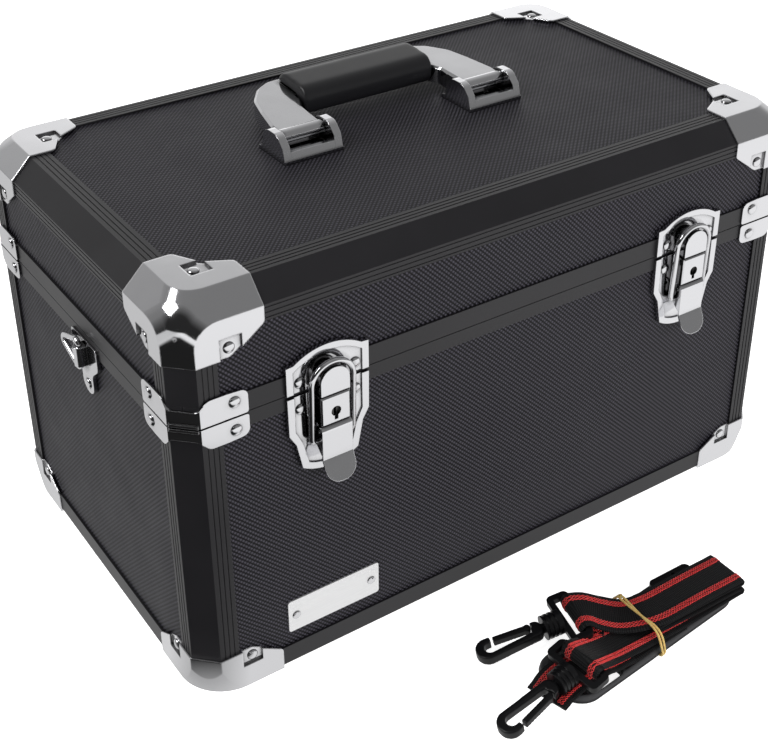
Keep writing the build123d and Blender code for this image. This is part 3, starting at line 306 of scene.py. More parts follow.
def flat_slab(shape, inset, height, thickness, edge, crown):
    """A slab over the whole case, less an inset at every wall, glued down at a height."""
    half_long = case_half_length - inset
    half_deep = case_half_depth - inset
    corner = (-half_long, -half_deep, height)
    soft_slab(shape, corner, (2 * half_long, 0, 0), (0, 2 * half_deep, 0), (0, 0, thickness), edge, crown)


def piece_from(name, shape, material, body):
    """Turns a bmesh into a named piece that rides on a body."""
    mesh = bpy.data.meshes.new(name)
    bmesh.ops.recalc_face_normals(shape, faces=shape.faces)
    shape.to_mesh(mesh)
    shape.free()
    for polygon in mesh.polygons:
        polygon.use_smooth = True
    mesh.materials.append(material)
    piece = bpy.data.objects.new(name, mesh)
    bpy.context.scene.collection.objects.link(piece)
    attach(piece, body)
    return piece


napped = napped_finish()
base_cushions = bmesh.new()
lining_slabs(base_cushions, lining_bottom, lining_top)
flat_slab(base_cushions, floor_pad_inset, floor_pad_bottom, floor_pad_thickness,
          floor_pad_edge, floor_pad_crown)
base_cushion = piece_from("base_cushion", base_cushions, napped, "case_base")
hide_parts("base_lining")
lid_cushions = bmesh.new()
lining_slabs(lid_cushions, lid_lining_bottom, lid_lining_top)
flat_slab(lid_cushions, foam_inset, foam_top, -foam_thickness, foam_edge, foam_crown)
lid_cushion = piece_from("lid_cushion", lid_cushions, napped, "lid")
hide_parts("lid_foam")

# Chrome corners
# Pressed steel caps, bright plated, over the four corners of the lid and the four of the base.
# Two bent plates meet round each corner at the seam. Domed rivets hold each cap and plate.

chrome_colour = (0.82, 0.82, 0.84, 1)
# The near-black colour is painted shade for the plating's recesses, not a stain.
painted_recess_shade = (0.03, 0.028, 0.028, 1)
painted_shade_reach = 4 * mm
painted_shade_fall = 1.8
plate_edge = 0.4 * mm
cap_edge = 1.1 * mm
ripple_height = 0.25 * mm
rivet_radius = 2.9 * mm
rivet_dome = 1.35 * mm
rivet_root = 0.4 * mm
rivet_flank = 0.15
rivet_steps = 7
case_top = 226 * mm
seam = 163.5 * mm
cap_skin = 1.05 * mm


def plated_finish(name, edge, alone=False):
    """Bright plating over pressed steel: rounded edges, a faint waviness, and painted shade that darkens
    its recesses.

    A piece that stands on the floor takes its painted shade from itself alone, so that the floor doesn't
    darken it."""
    material, tree, shader = finish_named(name, {"Metallic": 1.0})
    marks = cloud(tree, scale=90.0, detail=4.0)
    ripple = cloud(tree, scale=45.0, detail=1.0)
    reach = {"Distance": painted_shade_reach}
    # Painted shade: the plating's colour turns near-black where ambient occlusion finds a hollow.
    openness = add(tree, "AmbientOcclusion", reach, out="AO", samples=6, only_local=alone)
    painted_shade_share = add(tree, "Math", {0: openness, 1: painted_shade_fall}, operation="POWER")
    edges = add(tree, "Bevel", {"Radius": edge}, samples=6)
    feed(tree, shader, {"Base Color": tinted(tree, painted_shade_share, painted_recess_shade, chrome_colour),
                        "Roughness": between(tree, marks, 0.05, 0.13),
                        "Normal": raised(tree, ripple, ripple_height, 0.5, edges)})
    return material


chrome = plated_finish("bright_plating", plate_edge)
cap_chrome = plated_finish("drawn_plating", cap_edge, alone=True)
coat("top_corner_caps", cap_chrome)
coat("bottom_corner_caps", cap_chrome)
coat("lid_seam_plates", chrome)
coat("base_seam_plates", chrome)


def turned(shape, profile, seat, outward, steps=24):
    """Adds a turned form to a bmesh: profile is (radius, height) from the rim to the crown."""
    turn = Vector((0, 0, 1)).rotation_difference(Vector(outward).normalized())
    seat = Vector(seat)
    rings = []
    for radius, height in profile:
        if radius < 1e-7:
            rings.append([shape.verts.new(seat + turn @ Vector((0, 0, height)))])
            continue
        ring = []
        for i in range(steps):
            angle = 2 * pi * i / steps
            place = Vector((radius * cos(angle), radius * sin(angle), height))
            ring.append(shape.verts.new(seat + turn @ place))
        rings.append(ring)
    for low, high in zip(rings, rings[1:]):
        for i in range(steps):
            j = (i + 1) % steps
            if len(high) == 1:
                shape.faces.new((low[i], low[j], high[0]))
            else:
                shape.faces.new((low[i], low[j], high[j], high[i]))
    shape.faces.new(list(reversed(rings[0])))


def rivet_profile(radius, dome):
    """A short flank that starts inside the sheet, and a rounded crown."""
    flank = rivet_flank * dome
    points = [(radius, -rivet_root), (radius, flank)]
    for i in range(1, rivet_steps + 1):
        angle = i / rivet_steps * pi / 2
        points.append((radius * cos(angle) if i < rivet_steps else 0, flank + (dome - flank) * sin(angle)))
    return points


def rivets(name, seats, body, radius=rivet_radius, dome=rivet_dome):
    """Domed rivet heads on their seats, as one piece."""
    shape = bmesh.new()
    for seat, outward in seats:
        turned(shape, rivet_profile(radius, dome), seat, outward)
    return piece_from(name, shape, chrome, body)


def at_all_corners(seats):
    """Repeats seats given for the front left corner at the other three."""
    return [((x * place[0], y * place[1], place[2]), (x * outward[0], y * outward[1], outward[2]))
            for x in (1, -1) for y in (1, -1) for place, outward in seats]


pocket_depth = 0.25 * mm
front_face = -case_half_depth + pocket_depth
left_face = -case_half_length + pocket_depth
top_face = case_top - pocket_depth
plate_front = -case_half_depth - cap_skin
plate_left = -case_half_length - cap_skin
top_rivets = [((-162.8 * mm, front_face, 200 * mm), (0, -1, 0)),
              ((left_face, -84.9 * mm, 201 * mm), (-1, 0, 0)),
              ((-163.8 * mm, -84.3 * mm, top_face), (0, 0, 1))]
rivets("top_cap_rivets", at_all_corners(top_rivets), "lid")
bottom_rivets = [((-162 * mm, front_face, 18 * mm), (0, -1, 0)),
                 ((left_face, -84.5 * mm, 18 * mm), (-1, 0, 0))]
rivets("bottom_cap_rivets", at_all_corners(bottom_rivets), "case_base")


def seam_seats(height):
    """The two rivets of each corner's seam plate, at a height from the seam."""
    return at_all_corners([((-162.5 * mm, plate_front, seam + height), (0, -1, 0)),
                           ((plate_left, -84.5 * mm, seam + height), (-1, 0, 0))])


rivets("lid_seam_rivets", seam_seats(8.2 * mm), "lid")
rivets("base_seam_rivets", seam_seats(-7 * mm), "case_base")

# Draw latches
# Two on the front: a keeper on the lid, and on the base a plate, a lock housing, a lever and a wire bail.
# All are pressed steel, bright plated, and riveted on. The bail hooks over the keeper's boss.

latch_middle = 114 * mm
latch_sheet = 1.0 * mm
latch_rivet_aside = 14.9 * mm
for side in ("left", "right"):
    for part in ("latch_plate", "keeper", "lock_housing", "latch_lever", "latch_bail"):
        coat(f"{part}_{side}", chrome)
coat("latch_pins", chrome)


def latch_seats(height):
    """A rivet on each side of both latches, at a height from the seam."""
    face = -case_half_depth - latch_sheet
    return [((x + way * latch_rivet_aside, face, seam + height), (0, -1, 0))
            for x in (-latch_middle, latch_middle) for way in (1, -1)]


rivets("keeper_rivets", latch_seats(5.5 * mm), "lid")
rivets("latch_plate_rivets", latch_seats(-9.1 * mm), "case_base")

# Key plugs
# Turned steel barrels, oiled and left dark, one behind the keyhole in each lock housing.
# A key turns them.


def dark_steel_finish():
    """Oiled dark steel."""
    constants = {"Metallic": 1.0, "Base Color": (0.09, 0.088, 0.085, 1)}
    material, tree, shader = finish_named("oiled_steel", constants)
    feed(tree, shader, {"Roughness": between(tree, cloud(tree, scale=900.0, detail=3.0), 0.3, 0.5)})
    return material


dark_steel = dark_steel_finish()
for side in ("left", "right"):
    coat(f"lock_plug_{side}", dark_steel)

# Rear hinges
# Two pairs of pressed and plated leaves, rolled round a pin into knuckles.
# Small rivets hold them to the rims and the back panels.

for part in ("base_hinge_leaves", "lid_hinge_leaves", "hinge_pins"):
    coat(part, chrome)
hinge_middle = 105 * mm
leaf_rivet_offsets = (-22 * mm, 0, 22 * mm)
leaf_rivet_radius = 2.2 * mm
leaf_rivet_dome = 1.0 * mm
leaf_face = case_half_depth - 0.2 * mm


def leaf_seats(height):
    """Rivets along a leaf, on both hinges."""
    return [((x + aside, leaf_face, seam + height), (0, 1, 0))
            for x in (-hinge_middle, hinge_middle) for aside in leaf_rivet_offsets]


rivets("lid_leaf_rivets", leaf_seats(14.4 * mm), "lid", leaf_rivet_radius, leaf_rivet_dome)
rivets("base_leaf_rivets", leaf_seats(-14.8 * mm), "case_base", leaf_rivet_radius, leaf_rivet_dome)

# Strap anchors and rings
# A pressed and plated steel plate with a raised bridge, riveted to each end of the base.
# A ring bent from wire swings in the bridge, and a hook of the strap snaps on to it.

for side in ("left", "right"):
    coat(f"strap_anchor_{side}", chrome)
    coat(f"strap_ring_{side}", chrome)
anchor_middle = -9 * mm
anchor_rivet_height = seam - 29.5 * mm
anchor_sheet = 1.2 * mm
anchor_face = case_half_length + anchor_sheet
anchor_seats = [((way * anchor_face, anchor_middle, anchor_rivet_height), (way, 0, 0)) for way in (-1, 1)]
rivets("anchor_rivets", anchor_seats, "case_base")

# Nameplate
# A small plate of satin aluminium, brushed along its length and left bare.
# Two small rivets hold it to the front panel.

plate_middle = -113.2 * mm
plate_height = 30 * mm
plate_rivet_offset = 22.4 * mm
plate_rivet_radius = 2.4 * mm
plate_rivet_dome = 0.9 * mm
plate_grey = (0.78, 0.78, 0.79, 1)
plate_bright = (0.9, 0.9, 0.9, 1)
brush_marks = (60.0, 2500.0, 2500.0)
plate_face = -case_half_depth + 0.5 * mm


def satin_plate_finish():
    """Bright satin aluminium, brushed lengthwise."""
    material, tree, shader = finish_named("satin_aluminium", {"Metallic": 0.75})
    stretched = add(tree, "VectorMath", {0: place_of(tree), 1: brush_marks}, operation="MULTIPLY")
    brush = add(tree, "TexNoise", {"Vector": stretched, "Scale": 1.0, "Detail": 3.0})
    feed(tree, shader, {"Base Color": tinted(tree, brush, plate_grey, plate_bright),
                        "Roughness": between(tree, brush, 0.28, 0.42),
                        "Normal": raised(tree, brush, 0.01 * mm)})
    return material


coat("nameplate", satin_plate_finish())
plate_seats = [((plate_middle + way * plate_rivet_offset, plate_face, plate_height), (0, -1, 0))
               for way in (-1, 1)]
rivets("nameplate_rivets", plate_seats, "case_base", plate_rivet_radius, plate_rivet_dome)

# Handle
# A plated steel frame that folds back on the lid, pinned between two plated feet.
# Its middle carries a grip moulded in soft black plastic.

grip_edge = 1 * mm
grip_voxel = 0.7 * mm
grip_passes = 30
for part in ("handle_foot_left", "handle_foot_right", "handle_frame", "handle_pins"):
    coat(part, chrome)


def soften(node_name, passes, voxel):
    """Rounds the edges of a moulded CAD piece by modifiers, on a skin remade in fine even steps."""
    remesh = nodes[node_name].modifiers.new("even_skin", "REMESH")
    remesh.mode = "VOXEL"
    remesh.voxel_size = voxel
    remesh.use_smooth_shade = True
    smooth = nodes[node_name].modifiers.new("rounded_edges", "SMOOTH")
    smooth.factor = 0.5
    smooth.iterations = passes


def grip_finish():
    """Soft black moulding with a low sheen."""
    constants = {"Base Color": (0.007, 0.007, 0.008, 1), "Specular IOR Level": 0.5}
    material, tree, shader = finish_named("grip_moulding", constants)
    grain = cloud(tree, scale=2600.0, detail=2.0)
    edges = add(tree, "Bevel", {"Radius": grip_edge}, samples=6)
    feed(tree, shader, {"Roughness": between(tree, cloud(tree, scale=60.0, detail=3.0), 0.3, 0.4),
                        "Normal": raised(tree, grain, 0.02 * mm, 0.5, edges)})
    return material


coat("handle_grip", grip_finish())
soften("handle_grip", grip_passes, grip_voxel)

# Shoulder strap
# Black polyester webbing sewn with red chain stitches, with a moulded swivel hook at each end.
# It is taken off the case, folded in four on its pad, and lies in front.

strap_red = (0.42, 0.008, 0.010, 1)
strap_red_pale = (0.80, 0.055, 0.05, 1)
webbing_half = 12.5 * mm
webbing_thick = 1.5 * mm
webbing_edge = 1.6 * mm
webbing_lip = 0.4 * mm
webbing_lip_half = 0.36 * webbing_thick
webbing_steps = 8
weave_pitch = 1.05 * mm
yarn_pitch = 1.5 * mm
map_scale = 10.0
ribbon_step = 0.55 * mm
# Painted shade for the weave's hollows and painted highlight for its rib crests.
webbing_hollow_shade = (0.0035, 0.0035, 0.0038, 1)
webbing_crest_highlight = (0.016, 0.016, 0.017, 1)
weave_depth = 0.16 * mm
stripe_offset = 7.7 * mm
thread_radius = 0.25 * mm
thread_lift = 0.14 * mm
thread_sides = 5
stitch_margin = 1.5 * mm
chain_apart = 0.95 * mm
chain_half = 0.7 * mm
chain_pitch = 3.2 * mm
hook_voxel = 0.36 * mm
hook_passes = 26
gate_passes = 4
moulding_edge = 0.5 * mm


def moulded_finish():
    """Glossy black moulded plastic with softened edges."""
    constants = {"Base Color": (0.004, 0.004, 0.0045, 1), "Specular IOR Level": 0.26}
    material, tree, shader = finish_named("hook_moulding", constants)
    feed(tree, shader, {"Roughness": between(tree, cloud(tree, scale=120.0, detail=3.0), 0.26, 0.4),
                        "Normal": add(tree, "Bevel", {"Radius": moulding_edge}, samples=6)})
    return material


moulded = moulded_finish()
coat("strap_slider", moulded)
for number in (1, 2):
    for part in ("swivel_base", "snap_hook", "snap_gate"):
        coat(f"{part}_{number}", moulded)
    soften(f"snap_hook_{number}", hook_passes, hook_voxel)
    soften(f"snap_gate_{number}", gate_passes, hook_voxel)


def smooth_path(stations, spacing):
    """Runs a curve through stations given as tuples, and returns evenly spaced tuples along it."""
    dense = []
    count = len(stations)
    parts = 12
    for i in range(count - 1):
        near = (stations[max(i - 1, 0)], stations[i], stations[i + 1], stations[min(i + 2, count - 1)])
        for step in range(parts):
            t = step / parts
            dense.append(tuple(0.5 * (2 * b + (c - a) * t + (2 * a - 5 * b + 4 * c - d) * t * t
                                      + (3 * b - a - 3 * c + d) * t ** 3) for a, b, c, d in zip(*near)))
    dense.append(stations[-1])
    even = [dense[0]]
    travelled = 0.0
    for a, b in zip(dense, dense[1:]):
        length = sqrt(sum((p - q) ** 2 for p, q in zip(a[:3], b[:3])))
        while length > 1e-9 and travelled + length >= spacing:
            share = (spacing - travelled) / length
            a = tuple(p + (q - p) * share for p, q in zip(a, b))
            even.append(a)
            length = sqrt(sum((p - q) ** 2 for p, q in zip(a[:3], b[:3])))
            travelled = 0.0
        travelled += length
    even.append(dense[-1])
    return even


def ribbon_frames(stations):
    """Point, across and normal at even steps. A station is (x, y, z, heading of the width)."""
    rows = smooth_path(stations, ribbon_step)
    frames = []
    for i, row in enumerate(rows):
        point = Vector(row[:3])
        ahead = Vector(rows[min(i + 1, len(rows) - 1)][:3])
        behind = Vector(rows[max(i - 1, 0)][:3])
        way = (ahead - behind).normalized()
        across = Vector((cos(row[3]), sin(row[3]), 0))
        across = (across - way * across.dot(way)).normalized()
        frames.append((point, across, way.cross(across).normalized()))
    return frames


def webbing_profile():
    """Flat faces and thinner edges, as (across, out) pairs round the webbing."""
    points = []
    flat = webbing_half - webbing_edge
    for way in (1, -1):
        for i in range(webbing_steps + 1):
            points.append((way * flat * (2 * i / webbing_steps - 1), way * webbing_thick / 2))
        points.append((way * (webbing_half - webbing_lip), way * webbing_lip_half))
        points.append((way * webbing_half, 0))
        points.append((way * (webbing_half - webbing_lip), -way * webbing_lip_half))
    return points


def add_ribbon(shape, frames):
    """Adds a webbing run to a bmesh, with its length and width kept as a map for the weave."""
    lay = shape.loops.layers.uv.get("weave") or shape.loops.layers.uv.new("weave")
    profile = webbing_profile()
    rings = []
    for point, across, normal in frames:
        rings.append([shape.verts.new(point + across * u + normal * v) for u, v in profile])
    count = len(profile)
    for row in range(len(rings) - 1):
        for i in range(count):
            j = (i + 1) % count
            face = shape.faces.new((rings[row][i], rings[row][j], rings[row + 1][j], rings[row + 1][i]))
            corners = ((row, i), (row, j), (row + 1, j), (row + 1, i))
            for loop, (r, k) in zip(face.loops, corners):
                loop[lay].uv = (r * ribbon_step * map_scale, profile[k][0] * map_scale)
    shape.faces.new(rings[0])
    shape.faces.new(list(reversed(rings[-1])))


def add_tube(shape, points, radius, sides, closed=False):
    """Adds a thread or a wire along points."""
    rings = []
    count = len(points)
    side = None
    for i in range(count):
        ahead = points[(i + 1) % count] if closed else points[min(i + 1, count - 1)]
        behind = points[i - 1] if closed or i else points[0]
        way = (ahead - behind).normalized()
        side = way.orthogonal() if side is None else side - way * side.dot(way)
        side.normalize()
        third = way.cross(side)
        ring = []
        for k in range(sides):
            angle = 2 * pi * k / sides
            ring.append(shape.verts.new(points[i] + (side * cos(angle) + third * sin(angle)) * radius))
        rings.append(ring)
    pairs = list(zip(rings, rings[1:]))
    if closed:
        pairs.append((rings[-1], rings[0]))
    for low, high in pairs:
        for k in range(sides):
            m = (k + 1) % sides
            shape.faces.new((low[k], low[m], high[m], high[k]))
    if not closed:
        shape.faces.new(list(reversed(rings[0])))
        shape.faces.new(rings[-1])


def braid(shape, frames, offset, side):
    """Sews two red chains side by side along a webbing run, on one of its faces."""
    start = int(stitch_margin / ribbon_step)
    stop = int((len(frames) * ribbon_step - stitch_margin) / ribbon_step)
    for thread in range(4):
        points = []
        for i in range(start, stop):
            point, across, normal = frames[i]
            angle = 2 * pi * i * ribbon_step / chain_pitch + thread * pi
            row = chain_apart * (1 if thread > 1 else -1)
            sideways = offset + row + chain_half * sin(angle)
            lift = side * (webbing_thick / 2 + thread_lift + thread_lift * cos(angle))
            points.append(point + across * sideways + normal * lift)
        add_tube(shape, points, thread_radius, thread_sides)


def webbing_finish():
    """Black polyester webbing, woven with fine ribs across its length."""
    constants = {"Roughness": 0.72, "Specular IOR Level": 0.16, "Sheen Weight": 0.04,
                 "Sheen Roughness": 0.4}
    material, tree, shader = finish_named("black_webbing", constants)
    cloth = add(tree, "UVMap", uv_map="weave")
    ribs = wave(tree, cloth, (1, 0, 0), weave_pitch * map_scale)
    yarns = wave(tree, cloth, (0, 1, 0), yarn_pitch * map_scale)
    relief = product(tree, ribs, between(tree, yarns, 0.55, 1.0))
    # The colour follows the weave, varied at random: painted shade in its hollows, painted highlight on its
    # rib crests.
    mixed = product(tree, relief, between(tree, cloud(tree, scale=900.0, detail=3.0), 0.5, 1.2))
    feed(tree, shader, {"Base Color": tinted(tree, mixed, webbing_hollow_shade, webbing_crest_highlight),
                        "Normal": raised(tree, relief, weave_depth)})
    return material


def thread_finish():
    """Red polyester thread with a twisted lay."""
    constants = {"Roughness": 0.55, "Sheen Weight": 0.3, "Sheen Roughness": 0.4}
    material, tree, shader = finish_named("red_thread", constants)
    twist = cloud(tree, scale=1400.0, detail=3.0)
    shade = between(tree, twist, -0.6, 1.2)
    feed(tree, shader, {"Base Color": tinted(tree, shade, strap_red, strap_red_pale),
                        "Normal": raised(tree, twist, 0.1 * mm)})
    return material


# The webbing's stations are written in plain millimetres, and so are the first two values here.
bar_turn = 3.35
fold_slack = 0.35
fold_bulge = 1.15


def laid(*places):
    """Stations along the webbing's middle line, each (x, y, z) and the heading of its width in degrees."""
    return [(x * mm, y * mm, z * mm, radians(across)) for x, y, z, across in places]


def fold(x, y, low, high, way, across=90.0):
    """A soft bend in the folded webbing, from one layer's middle height to another's, bulging along X."""
    middle = (low + high) / 2
    reach = (high - low) / 2 + fold_slack
    places = []
    for degrees in (90, 55, 20, -20, -55, -90):
        bulge = fold_bulge if abs(degrees) < 60 else 1.0
        out = way * reach * cos(radians(degrees)) * bulge
        rise = (high - low) / 2 * sin(radians(degrees)) * bulge
        places.append((x + out, y, middle + rise, across))
    return laid(*places)


def round_bar(middle, ahead, upright, across, first, last):
    """The webbing's turn round the bar of a swivel loop, between two angles from straight ahead."""
    places = []
    steps = 6
    for i in range(steps + 1):
        angle = radians(first + (last - first) * i / steps)
        point = Vector(middle) + (Vector(ahead) * cos(angle) + Vector(upright) * sin(angle)) * bar_turn
        places.append((*point, across))
    return laid(*places)


webbing = webbing_finish()
thread = thread_finish()
loop_one_ahead = (-0.9576, 0.2299, -0.1736)
loop_one_up = (-0.1688, 0.0405, 0.9848)
loop_two_ahead = (-0.9744, -0.0853, -0.2079)
loop_two_up = (-0.2071, -0.0181, 0.9781)
run = laid((4.6, -186.2, 10.4, 56), (-0.5, -181.4, 9.8, 66))
run += round_bar((-6.85, -177.54, 13.64), loop_one_ahead, loop_one_up, 76.5, -90, 90)
run += laid((-2.4, -179.7, 16.4, 66), (3.4, -184.6, 14.3, 52), (10, -190.2, 13.2, 50),
            (16, -194.6, 14.6, 58), (22, -197.2, 15.9, 72), (30, -198.3, 16.3, 84),
            (40, -198.4, 16.6, 90), (52, -198.3, 16.7, 90), (66, -198.2, 16.5, 90), (77, -198.2, 16.4, 90))
run += fold(78.4, -198.1, 13.8, 16.4, 1)
run += laid((70, -197.6, 13.7, 90), (50, -197.3, 13.8, 90), (30, -197.2, 13.8, 90))
run += fold(22.4, -197.3, 11.2, 13.8, -1)
run += laid((30, -197.6, 11.2, 90), (46, -198.2, 11.2, 90), (70, -198.6, 11.3, 90))
run += fold(78.2, -198.8, 8.6, 11.2, 1, 91)
run += laid((66, -199.2, 8.7, 91), (40, -200.0, 8.6, 92), (18, -200.2, 8.7, 93),
            (4, -200.2, 8.9, 95), (-8, -200.8, 10.2, 96), (-17, -202.2, 13.4, 96))
run += round_bar((-26.67, -205.6, 15.8), loop_two_ahead, loop_two_up, 95, 96, -90)
run += laid((-19.5, -204.3, 11.0, 95), (-12, -203.2, 8.2, 95), (0, -202.6, 7.0, 94))
tail = laid((38, -199.6, 6.25, 92), (20, -200.4, 6.1, 93), (4, -201.6, 5.9, 95),
            (-15, -200.6, 5.9, 92), (-28, -201.4, 5.95, 88), (-36.6, -202.6, 6.0, 85),
            (-43, -204.0, 5.3, 82), (-47, -205.0, 4.2, 81), (-50.2, -205.7, 3.2, 80))
ribbons = bmesh.new()
stripes = bmesh.new()
for stations in (run, tail):
    frames = ribbon_frames(stations)
    add_ribbon(ribbons, frames)
    for offset in (-stripe_offset, stripe_offset):
        for face_side in (1, -1):
            braid(stripes, frames, offset, face_side)
strap_ribbon = piece_from("strap_ribbon", ribbons, webbing, "shoulder_strap")
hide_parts("shoulder_webbing")
piece_from("strap_stripes", stripes, thread, "shoulder_strap")

# Shoulder pad
# Moulded black rubber under the folded strap, crowned, with a bead round its rim and a field of dots.
# A slanted slot at one end lets the webbing through.

pad_right_end = Vector((81 * mm, -189 * mm))
pad_heading = radians(186)
pad_length = 124 * mm
pad_half_width = 18 * mm
pad_end_radius = 13 * mm
pad_high = 4.95 * mm
pad_bead = 1.9 * mm
pad_bead_width = 3.4 * mm
pad_groove = 0.8 * mm
pad_flank = 1.1 * mm
pad_under_round = 1.2 * mm
pad_crown = 0.12
pad_field_drop = 0.06
pad_cell = 1.6 * mm
pad_ring_steps = (0.3, 0.7, 1.2, 1.8, 2.4, 3.0, 3.6)
pad_ring_room = 0.1
pad_grid_from_rim = 4.2 * mm
pad_rim_step = 0.9 * mm
dot_pitch = 2.1 * mm
dot_height = 0.35 * mm
dot_fade = 0.5 * mm
rubber_low = (0.0085, 0.0085, 0.009, 1)
# Painted highlight for the tops of the dots and for the bead.
rubber_dot_highlight = (0.03, 0.03, 0.031, 1)
rubber_bead_highlight = (0.034, 0.034, 0.036, 1)
slot_radius = 2.6 * mm
slot_rim_step = 0.6 * mm
slot_corners = [(91 * mm, 9 * mm), (111 * mm, 9 * mm), (108 * mm, 15.5 * mm), (91 * mm, 15.5 * mm)]
band_x = 18.4 * mm
band_dent = 2.25 * mm
band_dent_half = 3.6 * mm
band_dent_fade = 1.4 * mm


def rounded_outline(corners, radius, arc_step):
    """A closed run of points round a counter-clockwise polygon with rounded corners."""
    points = []
    count = len(corners)
    for i in range(count):
        corner = Vector(corners[i])
        before = (Vector(corners[i - 1]) - corner).normalized()
        after = (Vector(corners[(i + 1) % count]) - corner).normalized()
        half_angle = before.angle(after) / 2
        middle = corner + (before + after).normalized() * radius / sin(half_angle)
        start = corner + before * radius / tan(half_angle) - middle
        sweep = pi - 2 * half_angle
        steps = max(4, int(radius * sweep / arc_step))
        for step in range(steps + 1):
            angle = sweep * step / steps
            points.append(middle + Vector((start.x * cos(angle) - start.y * sin(angle),
                                           start.x * sin(angle) + start.y * cos(angle))))
    filled = []
    for a, b in zip(points, points[1:] + points[:1]):
        parts = max(1, int((b - a).length / pad_cell))
        filled += [a.lerp(b, part / parts) for part in range(parts)]
    return filled


def nearest(point, loop):
    """Distance from a point to a closed run of points."""
    best = float("inf")
    for a, b in zip(loop, loop[1:] + loop[:1]):
        along = b - a
        share = max(0.0, min(1.0, (point - a).dot(along) / max(along.length_squared, 1e-18)))
        best = min(best, (point - a - along * share).length)
    return best


def inside(point, loop):
    """Whether a point is inside a closed run of points."""
    crossings = 0
    for a, b in zip(loop, loop[1:] + loop[:1]):
        if (a.y > point.y) != (b.y > point.y):
            if point.x < a.x + (b.x - a.x) * (point.y - a.y) / (b.y - a.y):
                crossings += 1
    return crossings % 2 == 1


def inset_loop(loop, distance):
    """The loop moved inwards by a distance, for rings of points that follow the rim."""
    moved = []
    count = len(loop)
    for i in range(count):
        way = (loop[(i + 1) % count] - loop[i - 1]).normalized()
        moved.append(loop[i] + Vector((-way.y, way.x)) * distance)
    return moved


def smoothstep(share):
    """Runs gently from 0 to 1."""
    share = max(0.0, min(1.0, share))
    return share * share * (3 - 2 * share)


def pad_points(rim, slot):
    """Points for the pad's mesh: both outlines, rings that follow them, and a grid on the field between."""
    points = list(rim) + list(slot)
    for distance in pad_ring_steps:
        from_rim = (distance - pad_ring_room) * mm
        from_slot = min(distance, 1.0) * 0.55 * mm
        for point in inset_loop(rim, distance * mm) + inset_loop(slot, -distance * mm):
            if nearest(point, rim) > from_rim and nearest(point, slot) > from_slot:
                points.append(point)
    across = int(pad_length / pad_cell)
    up = int(2 * pad_half_width / pad_cell)
    for i in range(1, across):
        for j in range(1, up):
            point = Vector((pad_length * i / across, -pad_half_width + 2 * pad_half_width * j / up))
            if nearest(point, rim) > pad_grid_from_rim and nearest(point, slot) > pad_grid_from_rim:
                points.append(point)
    return points


def pad_shape():
    """The pad's mesh, with the distances from its rim and its slot kept as a map for the dots."""
    corners = [(0, -pad_half_width), (pad_length, -pad_half_width), (pad_length, pad_half_width),
               (0, pad_half_width)]
    rim = rounded_outline(corners, pad_end_radius, pad_rim_step)
    slot = rounded_outline(slot_corners, slot_radius, slot_rim_step)
    edges = [(i, (i + 1) % len(rim)) for i in range(len(rim))]
    edges += [(len(rim) + i, len(rim) + (i + 1) % len(slot)) for i in range(len(slot))]
    found, _, triangles, *_ = delaunay_2d_cdt(pad_points(rim, slot), edges, [], 0, 1e-7)
    shape = bmesh.new()
    lay = shape.loops.layers.uv.new("weave")
    turn = Matrix.Rotation(pad_heading, 2)
    tops = []
    unders = []
    margins = []
    for point in found:
        margin = min(nearest(point, rim), nearest(point, slot))
        dip = smoothstep((margin - pad_bead) / (pad_bead_width - pad_bead))
        crown = 1 - pad_crown * (point.y / pad_half_width) ** 2
        bead = pad_flank + (pad_high - pad_flank) * quarter_round(margin / pad_bead)
        high = (bead - pad_groove * dip) * (1 - pad_field_drop * dip) * crown
        low = pad_flank * (1 - quarter_round(margin / pad_under_round))
        placed = turn @ point + pad_right_end
        dent = band_dent * smoothstep((band_dent_half - abs(placed.x - band_x)) / band_dent_fade)
        margins.append(margin)
        tops.append(shape.verts.new((placed.x, placed.y, high)))
        unders.append(shape.verts.new((placed.x, placed.y, max(low, dent))))
    sides = {}
    for triangle in triangles:
        middle = sum((found[k] for k in triangle), Vector((0, 0))) / 3
        if not inside(middle, rim) or inside(middle, slot):
            continue
        top = shape.faces.new([tops[k] for k in triangle])
        for loop, k in zip(top.loops, triangle):
            loop[lay].uv = (margins[k] * map_scale, 0)
        shape.faces.new([unders[k] for k in reversed(triangle)])
        for a, b in zip(triangle, triangle[1:] + triangle[:1]):
            sides[(a, b)] = True
    for a, b in sides:
        if (b, a) not in sides:
            shape.faces.new((tops[b], tops[a], unders[a], unders[b]))
    return shape


def rubber_finish():
    """Dark moulded rubber: dots on the field with painted highlights on their tops, and a smooth bead
    painted paler as a highlight.
    """
    material, tree, shader = finish_named("moulded_rubber", {"Specular IOR Level": 0.4})
    point = place_of(tree)
    from_rim = add(tree, "SeparateXYZ", {"Vector": add(tree, "UVMap", uv_map="weave")}, out="X")
    bead_end = pad_bead_width * map_scale
    field = between(tree, from_rim, 0.0, 1.0, bead_end, bead_end + dot_fade * map_scale)
    dots = product(tree, wave(tree, point, (1, 0, 0), dot_pitch), wave(tree, point, (0, 1, 0), dot_pitch))
    relief = product(tree, dots, field)
    # Painted highlight: the dots are lighter on top, and the bead is paler all over.
    shade = tinted(tree, relief, rubber_low, rubber_dot_highlight)
    feed(tree, shader, {"Base Color": tinted(tree, field, rubber_bead_highlight, shade),
                        "Roughness": between(tree, cloud(tree, scale=70.0, detail=3.0), 0.45, 0.6),
                        "Normal": raised(tree, relief, dot_height)})
    return material


rubber_pad = piece_from("rubber_pad", pad_shape(), rubber_finish(), "shoulder_strap")
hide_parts("shoulder_pad")

# Elastic band
# A tan rubber band, doubled over and twisted as it was put on.
# It holds the folded strap to its pad.

